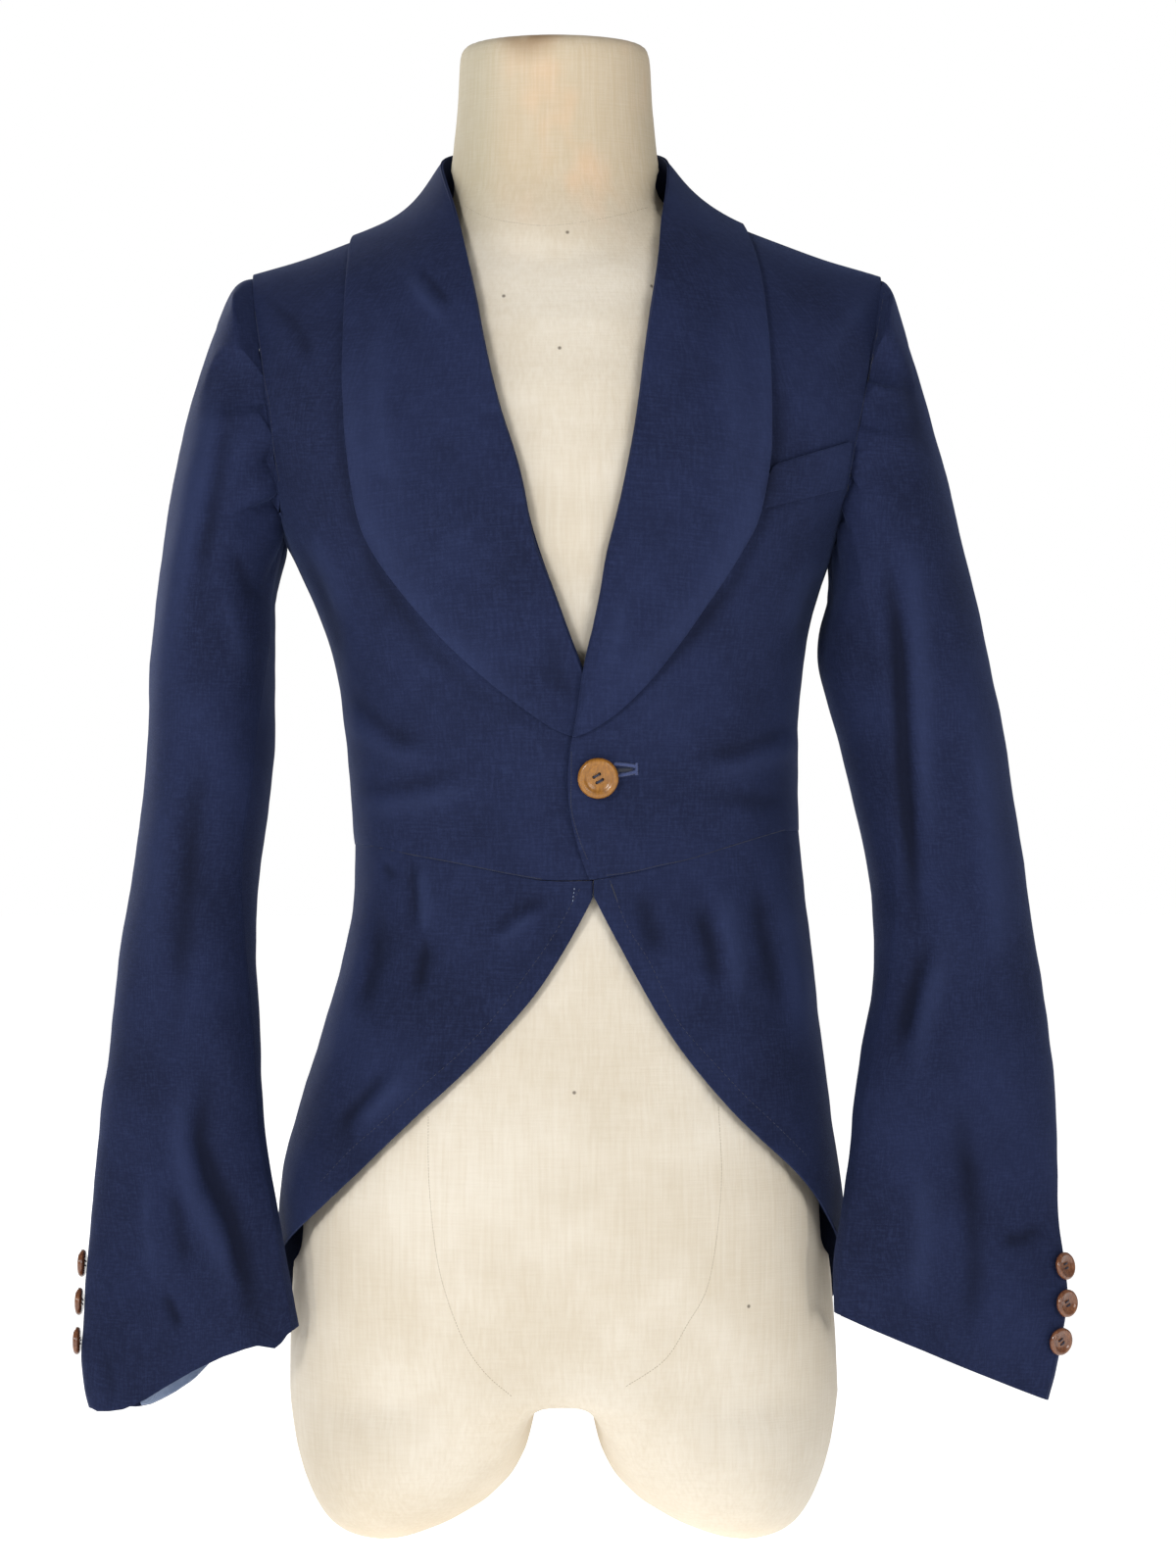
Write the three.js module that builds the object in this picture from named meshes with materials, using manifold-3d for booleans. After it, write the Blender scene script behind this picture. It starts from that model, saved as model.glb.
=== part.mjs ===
// A one-button tailcoat with a shawl collar, worn by a limbless dress form.
// Millimetres, +Z up. The front faces -Y. Left and right are the wearer's: the wearer's left is at +X.
import * as THREE from 'three';
import Module from 'manifold-3d';
import { mergeVertices } from 'three/addons/utils/BufferGeometryUtils.js';

const wasm = await Module();
wasm.setup();

// Cloth and seams
const clothThickness = 1.6;
const seamGap = 0.3;
const layerStep = clothThickness + seamGap;
const waistGap = 0.45;
const panelInset = 0.6;

// Heights
const underarmZ = 586;
const frontBreakZ = 467.6;
const backWaistZ = 404;

// Body section and shoulder line
const ringPower = 2.4;
const shoulderLineY = 6;
const formShoulderDrop = clothThickness + 2.3;
const shoulderLine = [
  { x: 0, z: 802 },
  { x: 40, z: 799 },
  { x: 70, z: 790 },
  { x: 100, z: 774 },
  { x: 128, z: 763 },
  { x: 155, z: 753 },
  { x: 172, z: 748 },
  { x: 186, z: 744 },
  { x: 200, z: 739 },
];

// Outer surface of the coat, a row for each height: reach to each side, to the front and to the back
const coatRings = [
  { z: 60, minX: -165, maxX: 164, front: -104, back: 129 },
  { z: 100, minX: -167, maxX: 166, front: -108, back: 132 },
  { z: 152, minX: -169, maxX: 167, front: -112, back: 135 },
  { z: 182, minX: -169.5, maxX: 167, front: -113, back: 136 },
  { z: 208, minX: -168, maxX: 165, front: -113, back: 134 },
  { z: 238, minX: -161, maxX: 160, front: -112, back: 131 },
  { z: 268, minX: -153, maxX: 155.5, front: -109, back: 126 },
  { z: 299, minX: -141, maxX: 152, front: -106, back: 119 },
  { z: 355, minX: -127, maxX: 146, front: -101, back: 104 },
  { z: 402, minX: -123, maxX: 141, front: -98, back: 94 },
  { z: 432, minX: -126, maxX: 138, front: -99, back: 92 },
  { z: 474, minX: -128, maxX: 138.5, front: -103, back: 95 },
  { z: 498, minX: -132, maxX: 139.5, front: -107, back: 99 },
  { z: 528, minX: -139, maxX: 144, front: -112, back: 104 },
  { z: 555, minX: -149, maxX: 151, front: -116, back: 108 },
  { z: 586, minX: -166, maxX: 162, front: -118, back: 111 },
  { z: 620, minX: -182, maxX: 178, front: -118, back: 111 },
  { z: 660, minX: -194, maxX: 193, front: -118, back: 111 },
  { z: 700, minX: -196, maxX: 198, front: -118, back: 111 },
  { z: 820, minX: -197, maxX: 199, front: -118, back: 111 },
];

// Surface of the dress form
const formRings = [
  { z: 84, minX: -162, maxX: 162.5, front: -96, back: 112 },
  { z: 110, minX: -162, maxX: 162, front: -100, back: 118 },
  { z: 135, minX: -161, maxX: 159, front: -104, back: 122 },
  { z: 178, minX: -159, maxX: 157, front: -107, back: 124 },
  { z: 208, minX: -157, maxX: 155, front: -107.5, back: 124 },
  { z: 238, minX: -152, maxX: 151, front: -106.5, back: 121 },
  { z: 268, minX: -144, maxX: 146, front: -104, back: 116 },
  { z: 299, minX: -134, maxX: 141, front: -101, back: 109 },
  { z: 355, minX: -119, maxX: 132, front: -95, back: 95 },
  { z: 402, minX: -115, maxX: 128, front: -91, back: 86 },
  { z: 432, minX: -117, maxX: 128, front: -91, back: 84 },
  { z: 474, minX: -120, maxX: 130, front: -95, back: 87 },
  { z: 528, minX: -131, maxX: 136, front: -104, back: 94 },
  { z: 586, minX: -152, maxX: 150, front: -112, back: 98 },
  { z: 640, minX: -168, maxX: 166, front: -114, back: 102 },
  { z: 700, minX: -176, maxX: 176, front: -114, back: 92 },
  { z: 820, minX: -178, maxX: 178, front: -114, back: 92 },
];
const neckCentreX = -5;
const neckRings = [
  { z: 735, halfWidth: 80, front: -74, back: 50 },
  { z: 762, halfWidth: 74, front: -68, back: 48 },
  { z: 778, halfWidth: 68.5, front: -61, back: 47 },
  { z: 794, halfWidth: 64, front: -56, back: 46.5 },
  { z: 812, halfWidth: 61, front: -54, back: 46 },
  { z: 842, halfWidth: 58, front: -53, back: 46 },
  { z: 874, halfWidth: 56.5, front: -53, back: 46 },
  { z: 880, halfWidth: 53, front: -50, back: 43 },
];

// Thigh stubs below the crotch, drawn in to their flat soles
const thighRings = [
  { z: 84, inner: 15, outer: 162.5, front: -96, back: 112, roundness: 0 },
  { z: 70, inner: 17, outer: 161, front: -94, back: 111, roundness: 0.35 },
  { z: 52, inner: 21, outer: 158, front: -90, back: 108, roundness: 0.7 },
  { z: 36, inner: 29, outer: 153.5, front: -84, back: 102, roundness: 0.9 },
  { z: 22, inner: 43, outer: 147.5, front: -75, back: 92, roundness: 1 },
  { z: 10, inner: 63, outer: 140, front: -60, back: 76, roundness: 1 },
  { z: 3, inner: 80, outer: 131, front: -42, back: 57, roundness: 1 },
  { z: 0, inner: 88, outer: 123, front: -31, back: 45, roundness: 1 },
];

// Turns of the form's section in one quarter; the second one is the crotch strip's half width
const formHeights = [84, 120, 160, 200, 240, 280, 320, 360, 400, 440, 490, 540];
const formArchLevels = [0, 12, 24, 36, 47, 57, 66, 74, 81, 87];
const quarterTurns = [0, 3.3, 9, 16, 24, 32, 40, 48, 56, 64, 72, 81];

// Front edge of each bodice front by height: up to the break, then the roll line to the neck
const frontEdgeLeft = [
  { z: 376, x: 17.6 },
  { z: 381, x: 17.3 },
  { z: 395, x: 11.7 },
  { z: 412, x: 6.1 },
  { z: 428.5, x: 2.7 },
  { z: 445, x: 1.7 },
  { z: 462, x: 3 },
  { z: 467.6, x: 5.5 },
  { z: 511, x: 11.8 },
  { z: 541, x: 19.5 },
  { z: 578, x: 25.6 },
  { z: 608, x: 33.5 },
  { z: 655, x: 42.4 },
  { z: 684, x: 45.8 },
  { z: 712, x: 49.6 },
  { z: 735, x: 53.2 },
  { z: 757, x: 58.5 },
  { z: 775, x: 65 },
  { z: 790, x: 72 },
];
const frontEdgeRight = [
  { z: 376, x: 18.2 },
  { z: 381, x: 18.4 },
  { z: 395, x: 23 },
  { z: 412, x: 28.5 },
  { z: 428.5, x: 31.5 },
  { z: 445, x: 32.5 },
  { z: 462, x: 30.5 },
  { z: 467.6, x: 29 },
  { z: 490, x: 19.5 },
  { z: 515.7, x: 8.9 },
  { z: 538, x: 0.5 },
  { z: 558, x: -6.7 },
  { z: 573, x: -13.4 },
  { z: 600, x: -19.5 },
  { z: 628, x: -25.7 },
  { z: 647, x: -32.4 },
  { z: 670, x: -38.6 },
  { z: 688.5, x: -43.2 },
  { z: 707, x: -46.7 },
  { z: 734, x: -51.5 },
  { z: 757, x: -60 },
  { z: 775, x: -69 },
  { z: 790, x: -78 },
];

// Back neckline: degrees up the arch, by distance from the middle of the neck
const neckMiddleX = -3;
const backNeckline = [
  { away: 0, level: 62 },
  { away: 20, level: 63.2 },
  { away: 40, level: 67.5 },
  { away: 58, level: 75.5 },
  { away: 70, level: 84 },
  { away: 77, level: 90 },
];

// Waist seam across the front
const waistSeam = [
  { x: -110, z: 406.6 },
  { x: -87, z: 401.2 },
  { x: -62.6, z: 396.9 },
  { x: -35, z: 391.4 },
  { x: -7, z: 386.4 },
  { x: 15.6, z: 387.2 },
  { x: 24.6, z: 388.5 },
  { x: 40, z: 391.2 },
  { x: 58.3, z: 395.3 },
  { x: 87, z: 403.6 },
  { x: 105.6, z: 409.7 },
  { x: 130, z: 415 },
];

// Hem of each skirt, by the turn round to its own side: cutaway edge, side and tail
const frontPointTurn = 4.6;
const middleGapTurn = 0.15;
const sideGapTurn = 0.07;
const hemLeft = [
  { turn: 4.6, z: 378 },
  { turn: 8.8, z: 353.4 },
  { turn: 14.6, z: 323.7 },
  { turn: 19.3, z: 300.7 },
  { turn: 24.5, z: 282.7 },
  { turn: 31.2, z: 262.8 },
  { turn: 38.4, z: 245.6 },
  { turn: 48.7, z: 226.7 },
  { turn: 59, z: 209 },
  { turn: 69, z: 187 },
  { turn: 80, z: 169 },
  { turn: 96, z: 148 },
  { turn: 112, z: 124 },
  { turn: 126, z: 102 },
  { turn: 138, z: 89 },
  { turn: 150, z: 84 },
  { turn: 180, z: 82 },
];
const hemRight = [
  { turn: -4.6, z: 377.5 },
  { turn: -0.9, z: 353.4 },
  { turn: 2.1, z: 331 },
  { turn: 7.6, z: 310.9 },
  { turn: 13.7, z: 290.8 },
  { turn: 19.2, z: 274.5 },
  { turn: 26, z: 258.1 },
  { turn: 34.3, z: 238 },
  { turn: 43, z: 217.1 },
  { turn: 53.9, z: 197.3 },
  { turn: 64.5, z: 183.4 },
  { turn: 80, z: 168 },
  { turn: 96, z: 148 },
  { turn: 112, z: 124 },
  { turn: 126, z: 102 },
  { turn: 138, z: 89 },
  { turn: 150, z: 84 },
  { turn: 180, z: 82 },
];

// Armhole by height: how far out the fronts and backs reach on each side
const armhole = [
  { z: 586, right: -166, left: 162 },
  { z: 592, right: -165, left: 162 },
  { z: 602, right: -164.6, left: 163 },
  { z: 620, right: -166.5, left: 166 },
  { z: 640, right: -169, left: 170 },
  { z: 660, right: -171.5, left: 174 },
  { z: 700, right: -178, left: 181 },
  { z: 730, right: -182, left: 186 },
  { z: 750, right: -184, left: 188 },
];

// Lapels: height on the roll line, loft of the roll, and the outer edge that belongs to it
const lapelLeft = [
  { rollZ: 470, rise: 2.2, edgeX: 13.5, edgeZ: 472.8 },
  { rollZ: 480, rise: 2.3, edgeX: 27, edgeZ: 481 },
  { rollZ: 497, rise: 2.4, edgeX: 52.6, edgeZ: 506.3 },
  { rollZ: 517, rise: 2.6, edgeX: 79, edgeZ: 541.7 },
  { rollZ: 541, rise: 3, edgeX: 97, edgeZ: 569 },
  { rollZ: 560, rise: 3.2, edgeX: 105.5, edgeZ: 583.5 },
  { rollZ: 578, rise: 3.4, edgeX: 113.3, edgeZ: 602 },
  { rollZ: 608, rise: 3.8, edgeX: 118, edgeZ: 628 },
  { rollZ: 629, rise: 4, edgeX: 118.5, edgeZ: 651 },
  { rollZ: 655, rise: 4.4, edgeX: 118, edgeZ: 679 },
  { rollZ: 684, rise: 4.8, edgeX: 117, edgeZ: 702 },
  { rollZ: 712, rise: 5.4, edgeX: 115.5, edgeZ: 724 },
  { rollZ: 736, rise: 6.2, edgeX: 112, edgeZ: 747 },
];
const lapelRight = [
  { rollZ: 472, rise: 2.2, edgeX: 17, edgeZ: 467.5 },
  { rollZ: 480, rise: 2.2, edgeX: 1, edgeZ: 471 },
  { rollZ: 490, rise: 2.2, edgeX: -16, edgeZ: 481.5 },
  { rollZ: 503, rise: 2.3, edgeX: -43.7, edgeZ: 503 },
  { rollZ: 517, rise: 2.5, edgeX: -72, edgeZ: 530 },
  { rollZ: 538, rise: 3, edgeX: -94, edgeZ: 556.5 },
  { rollZ: 558, rise: 3.2, edgeX: -107.3, edgeZ: 575.6 },
  { rollZ: 576, rise: 3.4, edgeX: -115.8, edgeZ: 594 },
  { rollZ: 600, rise: 3.8, edgeX: -120.5, edgeZ: 618 },
  { rollZ: 628, rise: 4, edgeX: -123, edgeZ: 644 },
  { rollZ: 650, rise: 4.2, edgeX: -124.6, edgeZ: 668 },
  { rollZ: 674, rise: 4.6, edgeX: -125.7, edgeZ: 691 },
  { rollZ: 705, rise: 5.2, edgeX: -125.6, edgeZ: 714 },
  { rollZ: 734, rise: 6.2, edgeX: -125, edgeZ: 737 },
];

// Collar from the shoulder round to the centre back: neckline, top of the roll, and outer edge.
// Levels are degrees up the arch from the chest, past 90 on the back.
const collarLeft = [
  { baseX: 60, baseLevel: 58, topX: 56, topY: -58, topZ: 767, edgeX: 105, edgeLevel: 82 },
  { baseX: 65, baseLevel: 68, topX: 58.5, topY: -42, topZ: 783, edgeX: 104, edgeLevel: 93 },
  { baseX: 69.5, baseLevel: 79, topX: 60.5, topY: -22, topZ: 799, edgeX: 100, edgeLevel: 102 },
  { baseX: 72, baseLevel: 90, topX: 61, topY: 2, topZ: 811, edgeX: 94, edgeLevel: 110 },
  { baseX: 70, baseLevel: 101, topX: 57.5, topY: 23, topZ: 818, edgeX: 85, edgeLevel: 117 },
  { baseX: 61, baseLevel: 109, topX: 48, topY: 38.5, topZ: 822, edgeX: 72, edgeLevel: 122.5 },
  { baseX: 45, baseLevel: 114.5, topX: 32, topY: 49, topZ: 824.5, edgeX: 53, edgeLevel: 126.5 },
  { baseX: 22, baseLevel: 117.5, topX: 14, topY: 54, topZ: 825.5, edgeX: 27, edgeLevel: 128.7 },
  { baseX: -2.8, baseLevel: 118.3, topX: -2.8, topY: 55.5, topZ: 826, edgeX: -2.8, edgeLevel: 129.5 },
];
const collarRight = [
  { baseX: -63, baseLevel: 58, topX: -59, topY: -58, topZ: 767, edgeX: -124, edgeLevel: 80 },
  { baseX: -69, baseLevel: 68, topX: -63.5, topY: -42, topZ: 783, edgeX: -121.5, edgeLevel: 91 },
  { baseX: -75, baseLevel: 79, topX: -68.5, topY: -22, topZ: 799, edgeX: -116, edgeLevel: 101 },
  { baseX: -78, baseLevel: 90, topX: -71.5, topY: 2, topZ: 811, edgeX: -107, edgeLevel: 109.5 },
  { baseX: -76, baseLevel: 101, topX: -67.5, topY: 23, topZ: 818, edgeX: -95, edgeLevel: 117 },
  { baseX: -67, baseLevel: 109, topX: -57, topY: 38.5, topZ: 822, edgeX: -79, edgeLevel: 122.5 },
  { baseX: -51, baseLevel: 114.5, topX: -40, topY: 49, topZ: 824.5, edgeX: -59, edgeLevel: 126.5 },
  { baseX: -28, baseLevel: 117.5, topX: -21, topY: 54, topZ: 825.5, edgeX: -33, edgeLevel: 128.7 },
  { baseX: -3.2, baseLevel: 118.3, topX: -3.2, topY: 55.5, topZ: 826, edgeX: -3.2, edgeLevel: 129.5 },
];

// Sleeves: outer and inner outline, depth to the front or back, place, and the turns of the two seams.
// Turns go round the sleeve from its outer line over the front.
const sleeveRight = [
  { outX: -196.8, outZ: 740.2, inX: -170.6, inZ: 584, depth: 60, midY: 2, hindTurn: -62, foreTurn: 143 },
  { outX: -202.6, outZ: 722.2, inX: -172.6, inZ: 579, depth: 62, midY: 2, hindTurn: -60, foreTurn: 148 },
  { outX: -213.9, outZ: 690.6, inX: -173, inZ: 569, depth: 63.5, midY: 2, hindTurn: -57, foreTurn: 156 },
  { outX: -226.9, outZ: 639.8, inX: -171.7, inZ: 549.8, depth: 65, midY: 1, hindTurn: -52, foreTurn: 160 },
  { outX: -234.9, outZ: 596.2, inX: -170.5, inZ: 520.8, depth: 64, midY: 0, hindTurn: -48, foreTurn: 160 },
  { outX: -243.4, outZ: 521.9, inX: -169.8, inZ: 476.1, depth: 61, midY: -2, hindTurn: -42, foreTurn: 140 },
  { outX: -246.2, outZ: 454.1, inX: -170.9, inZ: 439.6, depth: 57, midY: -4, hindTurn: -36, foreTurn: 133 },
  { outX: -252.3, outZ: 403.7, inX: -177.7, inZ: 402, depth: 54, midY: -6, hindTurn: -31, foreTurn: 134 },
  { outX: -257.9, outZ: 366.2, inX: -181.5, inZ: 372, depth: 51, midY: -9, hindTurn: -27, foreTurn: 144 },
  { outX: -263.8, outZ: 330.5, inX: -180.1, inZ: 336.2, depth: 47, midY: -13, hindTurn: -24, foreTurn: 152 },
  { outX: -268, outZ: 286.8, inX: -177.5, inZ: 298.4, depth: 42, midY: -18, hindTurn: -20, foreTurn: 156 },
  { outX: -271.5, outZ: 251.5, inX: -175.9, inZ: 264.1, depth: 37, midY: -24, hindTurn: -16, foreTurn: 158 },
  { outX: -274.9, outZ: 214.5, inX: -174.4, inZ: 235.8, depth: 32, midY: -30, hindTurn: -12, foreTurn: 158 },
  { outX: -277.7, outZ: 179, inX: -168.5, inZ: 207.6, depth: 27, midY: -39, hindTurn: -9, foreTurn: 158 },
  { outX: -279.9, outZ: 139.5, inX: -163, inZ: 181.8, depth: 23, midY: -48, hindTurn: -7, foreTurn: 158 },
  { outX: -280.7, outZ: 106.8, inX: -157.3, inZ: 157, depth: 20, midY: -55, hindTurn: -6, foreTurn: 158 },
  { outX: -275.2, outZ: 82, inX: -152, inZ: 129.4, depth: 18, midY: -58, hindTurn: -6, foreTurn: 158 },
];
const sleeveLeft = [
  { outX: 196, outZ: 738.5, inX: 167, inZ: 583.5, depth: 60, midY: 2, hindTurn: -62, foreTurn: 128 },
  { outX: 201.4, outZ: 714.1, inX: 168, inZ: 577, depth: 62, midY: 2, hindTurn: -60, foreTurn: 126 },
  { outX: 208.9, outZ: 689.7, inX: 165, inZ: 567, depth: 63, midY: 2, hindTurn: -58, foreTurn: 122 },
  { outX: 218.1, outZ: 655.4, inX: 158.5, inZ: 553, depth: 64, midY: 1, hindTurn: -55, foreTurn: 117 },
  { outX: 226.2, outZ: 624, inX: 151, inZ: 535.3, depth: 64, midY: 0, hindTurn: -51, foreTurn: 112 },
  { outX: 237.7, outZ: 575.8, inX: 147.5, inZ: 519, depth: 62, midY: -2, hindTurn: -46, foreTurn: 105 },
  { outX: 247.3, outZ: 538.1, inX: 154.1, inZ: 491.7, depth: 60, midY: -4, hindTurn: -41, foreTurn: 108 },
  { outX: 255.3, outZ: 502.1, inX: 160.4, inZ: 470.3, depth: 57, midY: -6, hindTurn: -36, foreTurn: 113 },
  { outX: 263.2, outZ: 457, inX: 168.4, inZ: 439.6, depth: 54, midY: -8, hindTurn: -30, foreTurn: 121 },
  { outX: 271, outZ: 395, inX: 180.6, inZ: 388, depth: 49.5, midY: -12.5, hindTurn: -21, foreTurn: 132 },
  { outX: 279.1, outZ: 342.2, inX: 182.8, inZ: 342.8, depth: 44, midY: -18, hindTurn: -12, foreTurn: 142 },
  { outX: 283.4, outZ: 314.7, inX: 179.2, inZ: 315.8, depth: 41, midY: -22, hindTurn: -7, foreTurn: 147 },
  { outX: 286.9, outZ: 287.3, inX: 172.6, inZ: 284.4, depth: 38, midY: -30, hindTurn: -2, foreTurn: 150 },
  { outX: 288.7, outZ: 253.2, inX: 168.2, inZ: 247.5, depth: 33, midY: -40, hindTurn: 4, foreTurn: 153 },
  { outX: 287, outZ: 205, inX: 163.2, inZ: 213.5, depth: 28, midY: -48, hindTurn: 10, foreTurn: 155 },
  { outX: 291.7, outZ: 173, inX: 157.7, inZ: 181, depth: 24, midY: -54, hindTurn: 14, foreTurn: 156 },
  { outX: 295, outZ: 138, inX: 155.2, inZ: 160, depth: 21, midY: -58, hindTurn: 18, foreTurn: 157 },
  { outX: 283.1, outZ: 84.9, inX: 155.9, inZ: 137, depth: 18, midY: -60, hindTurn: 22, foreTurn: 158 },
];
const sleevePower = 2.2;
const sleeveHeadShift = 1.9;
const sleeveHalfGap = 0.2;

// Largest folds, drawn from one end to the other over the front or the back: height is out of the cloth
const coatFolds = [
  { x0: -88, z0: 399, x1: -86, z1: 352, height: -1.6, width: 5, behind: false },
  { x0: -79, z0: 350, x1: -85, z1: 318, height: -1.4, width: 5, behind: false },
  { x0: -12, z0: 380, x1: -42, z1: 358, height: 1.5, width: 6, behind: false },
  { x0: 68, z0: 377, x1: 75, z1: 335, height: -1.8, width: 9, behind: false },
  { x0: 96, z0: 372, x1: 104, z1: 300, height: 1.6, width: 10, behind: false },
  { x0: -102, z0: 290, x1: -122, z1: 236, height: -1.5, width: 7, behind: false },
  { x0: -96, z0: 436, x1: -44, z1: 452, height: -1.4, width: 7, behind: false },
  { x0: -100, z0: 460, x1: -30, z1: 446, height: 1.3, width: 8, behind: false },
  { x0: 52, z0: 452, x1: 110, z1: 470, height: 1.3, width: 8, behind: false },
  { x0: 50, z0: 436, x1: 112, z1: 430, height: -1.3, width: 7, behind: false },
  { x0: 62, z0: 380, x1: 86, z1: 140, height: 2, width: 12, behind: true },
  { x0: 112, z0: 370, x1: 138, z1: 170, height: -1.8, width: 12, behind: true },
  { x0: -60, z0: 382, x1: -92, z1: 130, height: 2.2, width: 13, behind: true },
  { x0: -110, z0: 372, x1: -134, z1: 176, height: -1.6, width: 11, behind: true },
  { x0: -118, z0: 640, x1: -84, z1: 560, height: 1.6, width: 10, behind: true },
  { x0: 116, z0: 632, x1: 86, z1: 548, height: 1.5, width: 10, behind: true },
];
const sleeveFoldsRight = [
  { x0: -205, z0: 692, x1: -236, z1: 493, height: 2.2, width: 8, behind: false },
  { x0: -196, z0: 575, x1: -178, z1: 470, height: -1.8, width: 7, behind: false },
  { x0: -232, z0: 430, x1: -196, z1: 395, height: -2, width: 7, behind: false },
  { x0: -245, z0: 372, x1: -206, z1: 352, height: -1.6, width: 7, behind: false },
  { x0: -208, z0: 274, x1: -213, z1: 236, height: -2.2, width: 6, behind: false },
  { x0: -213, z0: 236, x1: -193, z1: 190, height: -2, width: 6, behind: false },
  { x0: -193, z0: 190, x1: -172, z1: 126, height: -1.6, width: 7, behind: false },
  { x0: -238, z0: 640, x1: -222, z1: 470, height: 1.8, width: 9, behind: true },
  { x0: -240, z0: 410, x1: -190, z1: 392, height: -2, width: 8, behind: true },
  { x0: -244, z0: 340, x1: -196, z1: 300, height: -1.7, width: 8, behind: true },
];
const sleeveFoldsLeft = [
  { x0: 196, z0: 664, x1: 212, z1: 452, height: -2, width: 9, behind: false },
  { x0: 180, z0: 575, x1: 184, z1: 470, height: 1.8, width: 8, behind: false },
  { x0: 206, z0: 440, x1: 214, z1: 362, height: -1.8, width: 8, behind: false },
  { x0: 222, z0: 352, x1: 206, z1: 314, height: -2.4, width: 7, behind: false },
  { x0: 206, z0: 314, x1: 200, z1: 270, height: -2, width: 7, behind: false },
  { x0: 250, z0: 270, x1: 238, z1: 180, height: 1.4, width: 10, behind: false },
  { x0: 226, z0: 640, x1: 240, z1: 470, height: 1.8, width: 9, behind: true },
  { x0: 200, z0: 400, x1: 252, z1: 384, height: -2, width: 8, behind: true },
  { x0: 204, z0: 318, x1: 258, z1: 300, height: -1.6, width: 8, behind: true },
];

// Breast welt corners on the wearer's left front
const weltInset = 1.2;
const weltGrid = { rows: 2, across: 6, proud: 0.1 };
const weltTop = { nearZ: 624.5, farX: 166, farZ: 640.8 };
const weltBottom = { nearZ: 600.5, farX: 161.7, farZ: 614.6 };

// Buttons: diameter, thickness, gap under the button, sides and place
const frontButton = { diameter: 23.4, thickness: 4.2, seat: 0.6, sides: 24, x: 19.9, z: 446.4 };
const cuffButton = { diameter: 16.2, thickness: 3.4, seat: 0.3, sides: 14 };
const cuffButtonHeightsRight = [162.6, 140.9, 118.6];
const cuffButtonHeightsLeft = [163.1, 142, 120.3];
const cuffFacing = { rowsDeep: 0.5, inset: 0.03, recess: 2.5, fromTurn: 196, toTurn: 300, rows: 3, across: 10 };
const cuffButtonBeside = 4; // degrees from the hind seam
const buttonProfile = [[0, 0], [0.8, 0], [1, 0.45], [0.95, 0.9], [0.82, 1], [0.6, 0.66], [0, 0.62]];

// Grids
const frontRows = { lower: 6, upper: 13, across: 11 };
const backRows = { lower: 5, upper: 11, across: 12 };
const skirtGrid = { rows: 10, across: 22 };
const collarSteps = 1.6;
const collarFallPoints = 7;
const collarClear = { tip: 0.75, neck: 1.9 };
const sleeveAcross = 10;
const chordSteps = 9;
const neckSides = 36;

// How columns and rows gather: towards the centre back, and at the foot of the armhole
const columnGather = 1.3;
const rowGather = 1.1;
const firstTurn = { front: 5, side: 85, back: 95 };
const breakRun = 10;
const surfaceStep = 0.6;
const foldEnds = 0.45; // share of a fold's height at its ends

// Lift of the left front over the right one: cloth layers, and the heights and place where it comes and goes
const overlap = {
  layers: 1.05,
  lapelLayers: 1.75,
  lapelFoot: [398, 430],
  top: [512, 552],
  side: [40, 84],
  foot: [352, 384],
};

// The shawl's fold: where it gets clear of the coat, its leg, its roll and how far it drops behind the roll
const collarFold = { clearFrom: 0.35, clearTo: 0.58, ahead: 0.1, legShare: 0.55, roll: 0.9, turned: 1.3, drop: 0.7 };

// The sleeve head at the armhole, and where a sleeve's normals and folds begin
const sleeveHead = { footLift: 0.5, topDrop: 0.3, topZ: 750 };
const sleeveSteps = { turn: 2, place: 0.2, normalsFrom: 1.2, foldsFrom: 0.5, foldsTo: 2.5 };
const sleeveWiden = { times: 3, from: 1, to: 3.5 };

const degree = Math.PI / 180;

// Colours
const navyCloth = { color: 0x2b3050, roughness: 0.86, metalness: 0 };
const linenCloth = { color: 0xe6ddc6, roughness: 0.9, metalness: 0 };
const facingCloth = { color: 0x8292ae, roughness: 0.8, metalness: 0 };
const hornButton = { color: 0xb87a32, roughness: 0.42, metalness: 0 };
const darkButton = { color: 0x6e432c, roughness: 0.4, metalness: 0 };

// A smooth function through one column of a table, with no overshoot between rows
function curveThrough(rows, key, column) {
  const slopes = rows.map((row, i) => {
    const before = rows[i - 1];
    const after = rows[i + 1];
    if (!before || !after) return 0;
    const low = (row[column] - before[column]) / (row[key] - before[key]);
    const high = (after[column] - row[column]) / (after[key] - row[key]);
    return low * high > 0 ? (2 * low * high) / (low + high) : 0;
  });
  const last = rows.length - 1;
  return (place) => {
    if (place <= rows[0][key]) return rows[0][column];
    if (place >= rows[last][key]) return rows[last][column];
    const i = rows.findIndex((row) => row[key] > place) - 1;
    const span = rows[i + 1][key] - rows[i][key];
    const t = (place - rows[i][key]) / span;
    const rise = rows[i + 1][column] - rows[i][column];
    const near = slopes[i] * span;
    const far = slopes[i + 1] * span;
    return rows[i][column] + t * near + t * t * (3 * rise - 2 * near - far) + t * t * t * (near + far - 2 * rise);
  };
}

function mix(low, high, t) {
  return low + (high - low) * t;
}

function ease(from, to, value) {
  return THREE.MathUtils.smoothstep((value - from) / (to - from), 0, 1);
}

function signedPower(value, power) {
  return Math.sign(value) * Math.abs(value) ** power;
}

// Nearest place on a grid of 1/256 mm, which 32-bit numbers hold exactly
function onGrid(value) {
  return Math.round(value * 256) / 256;
}

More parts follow.
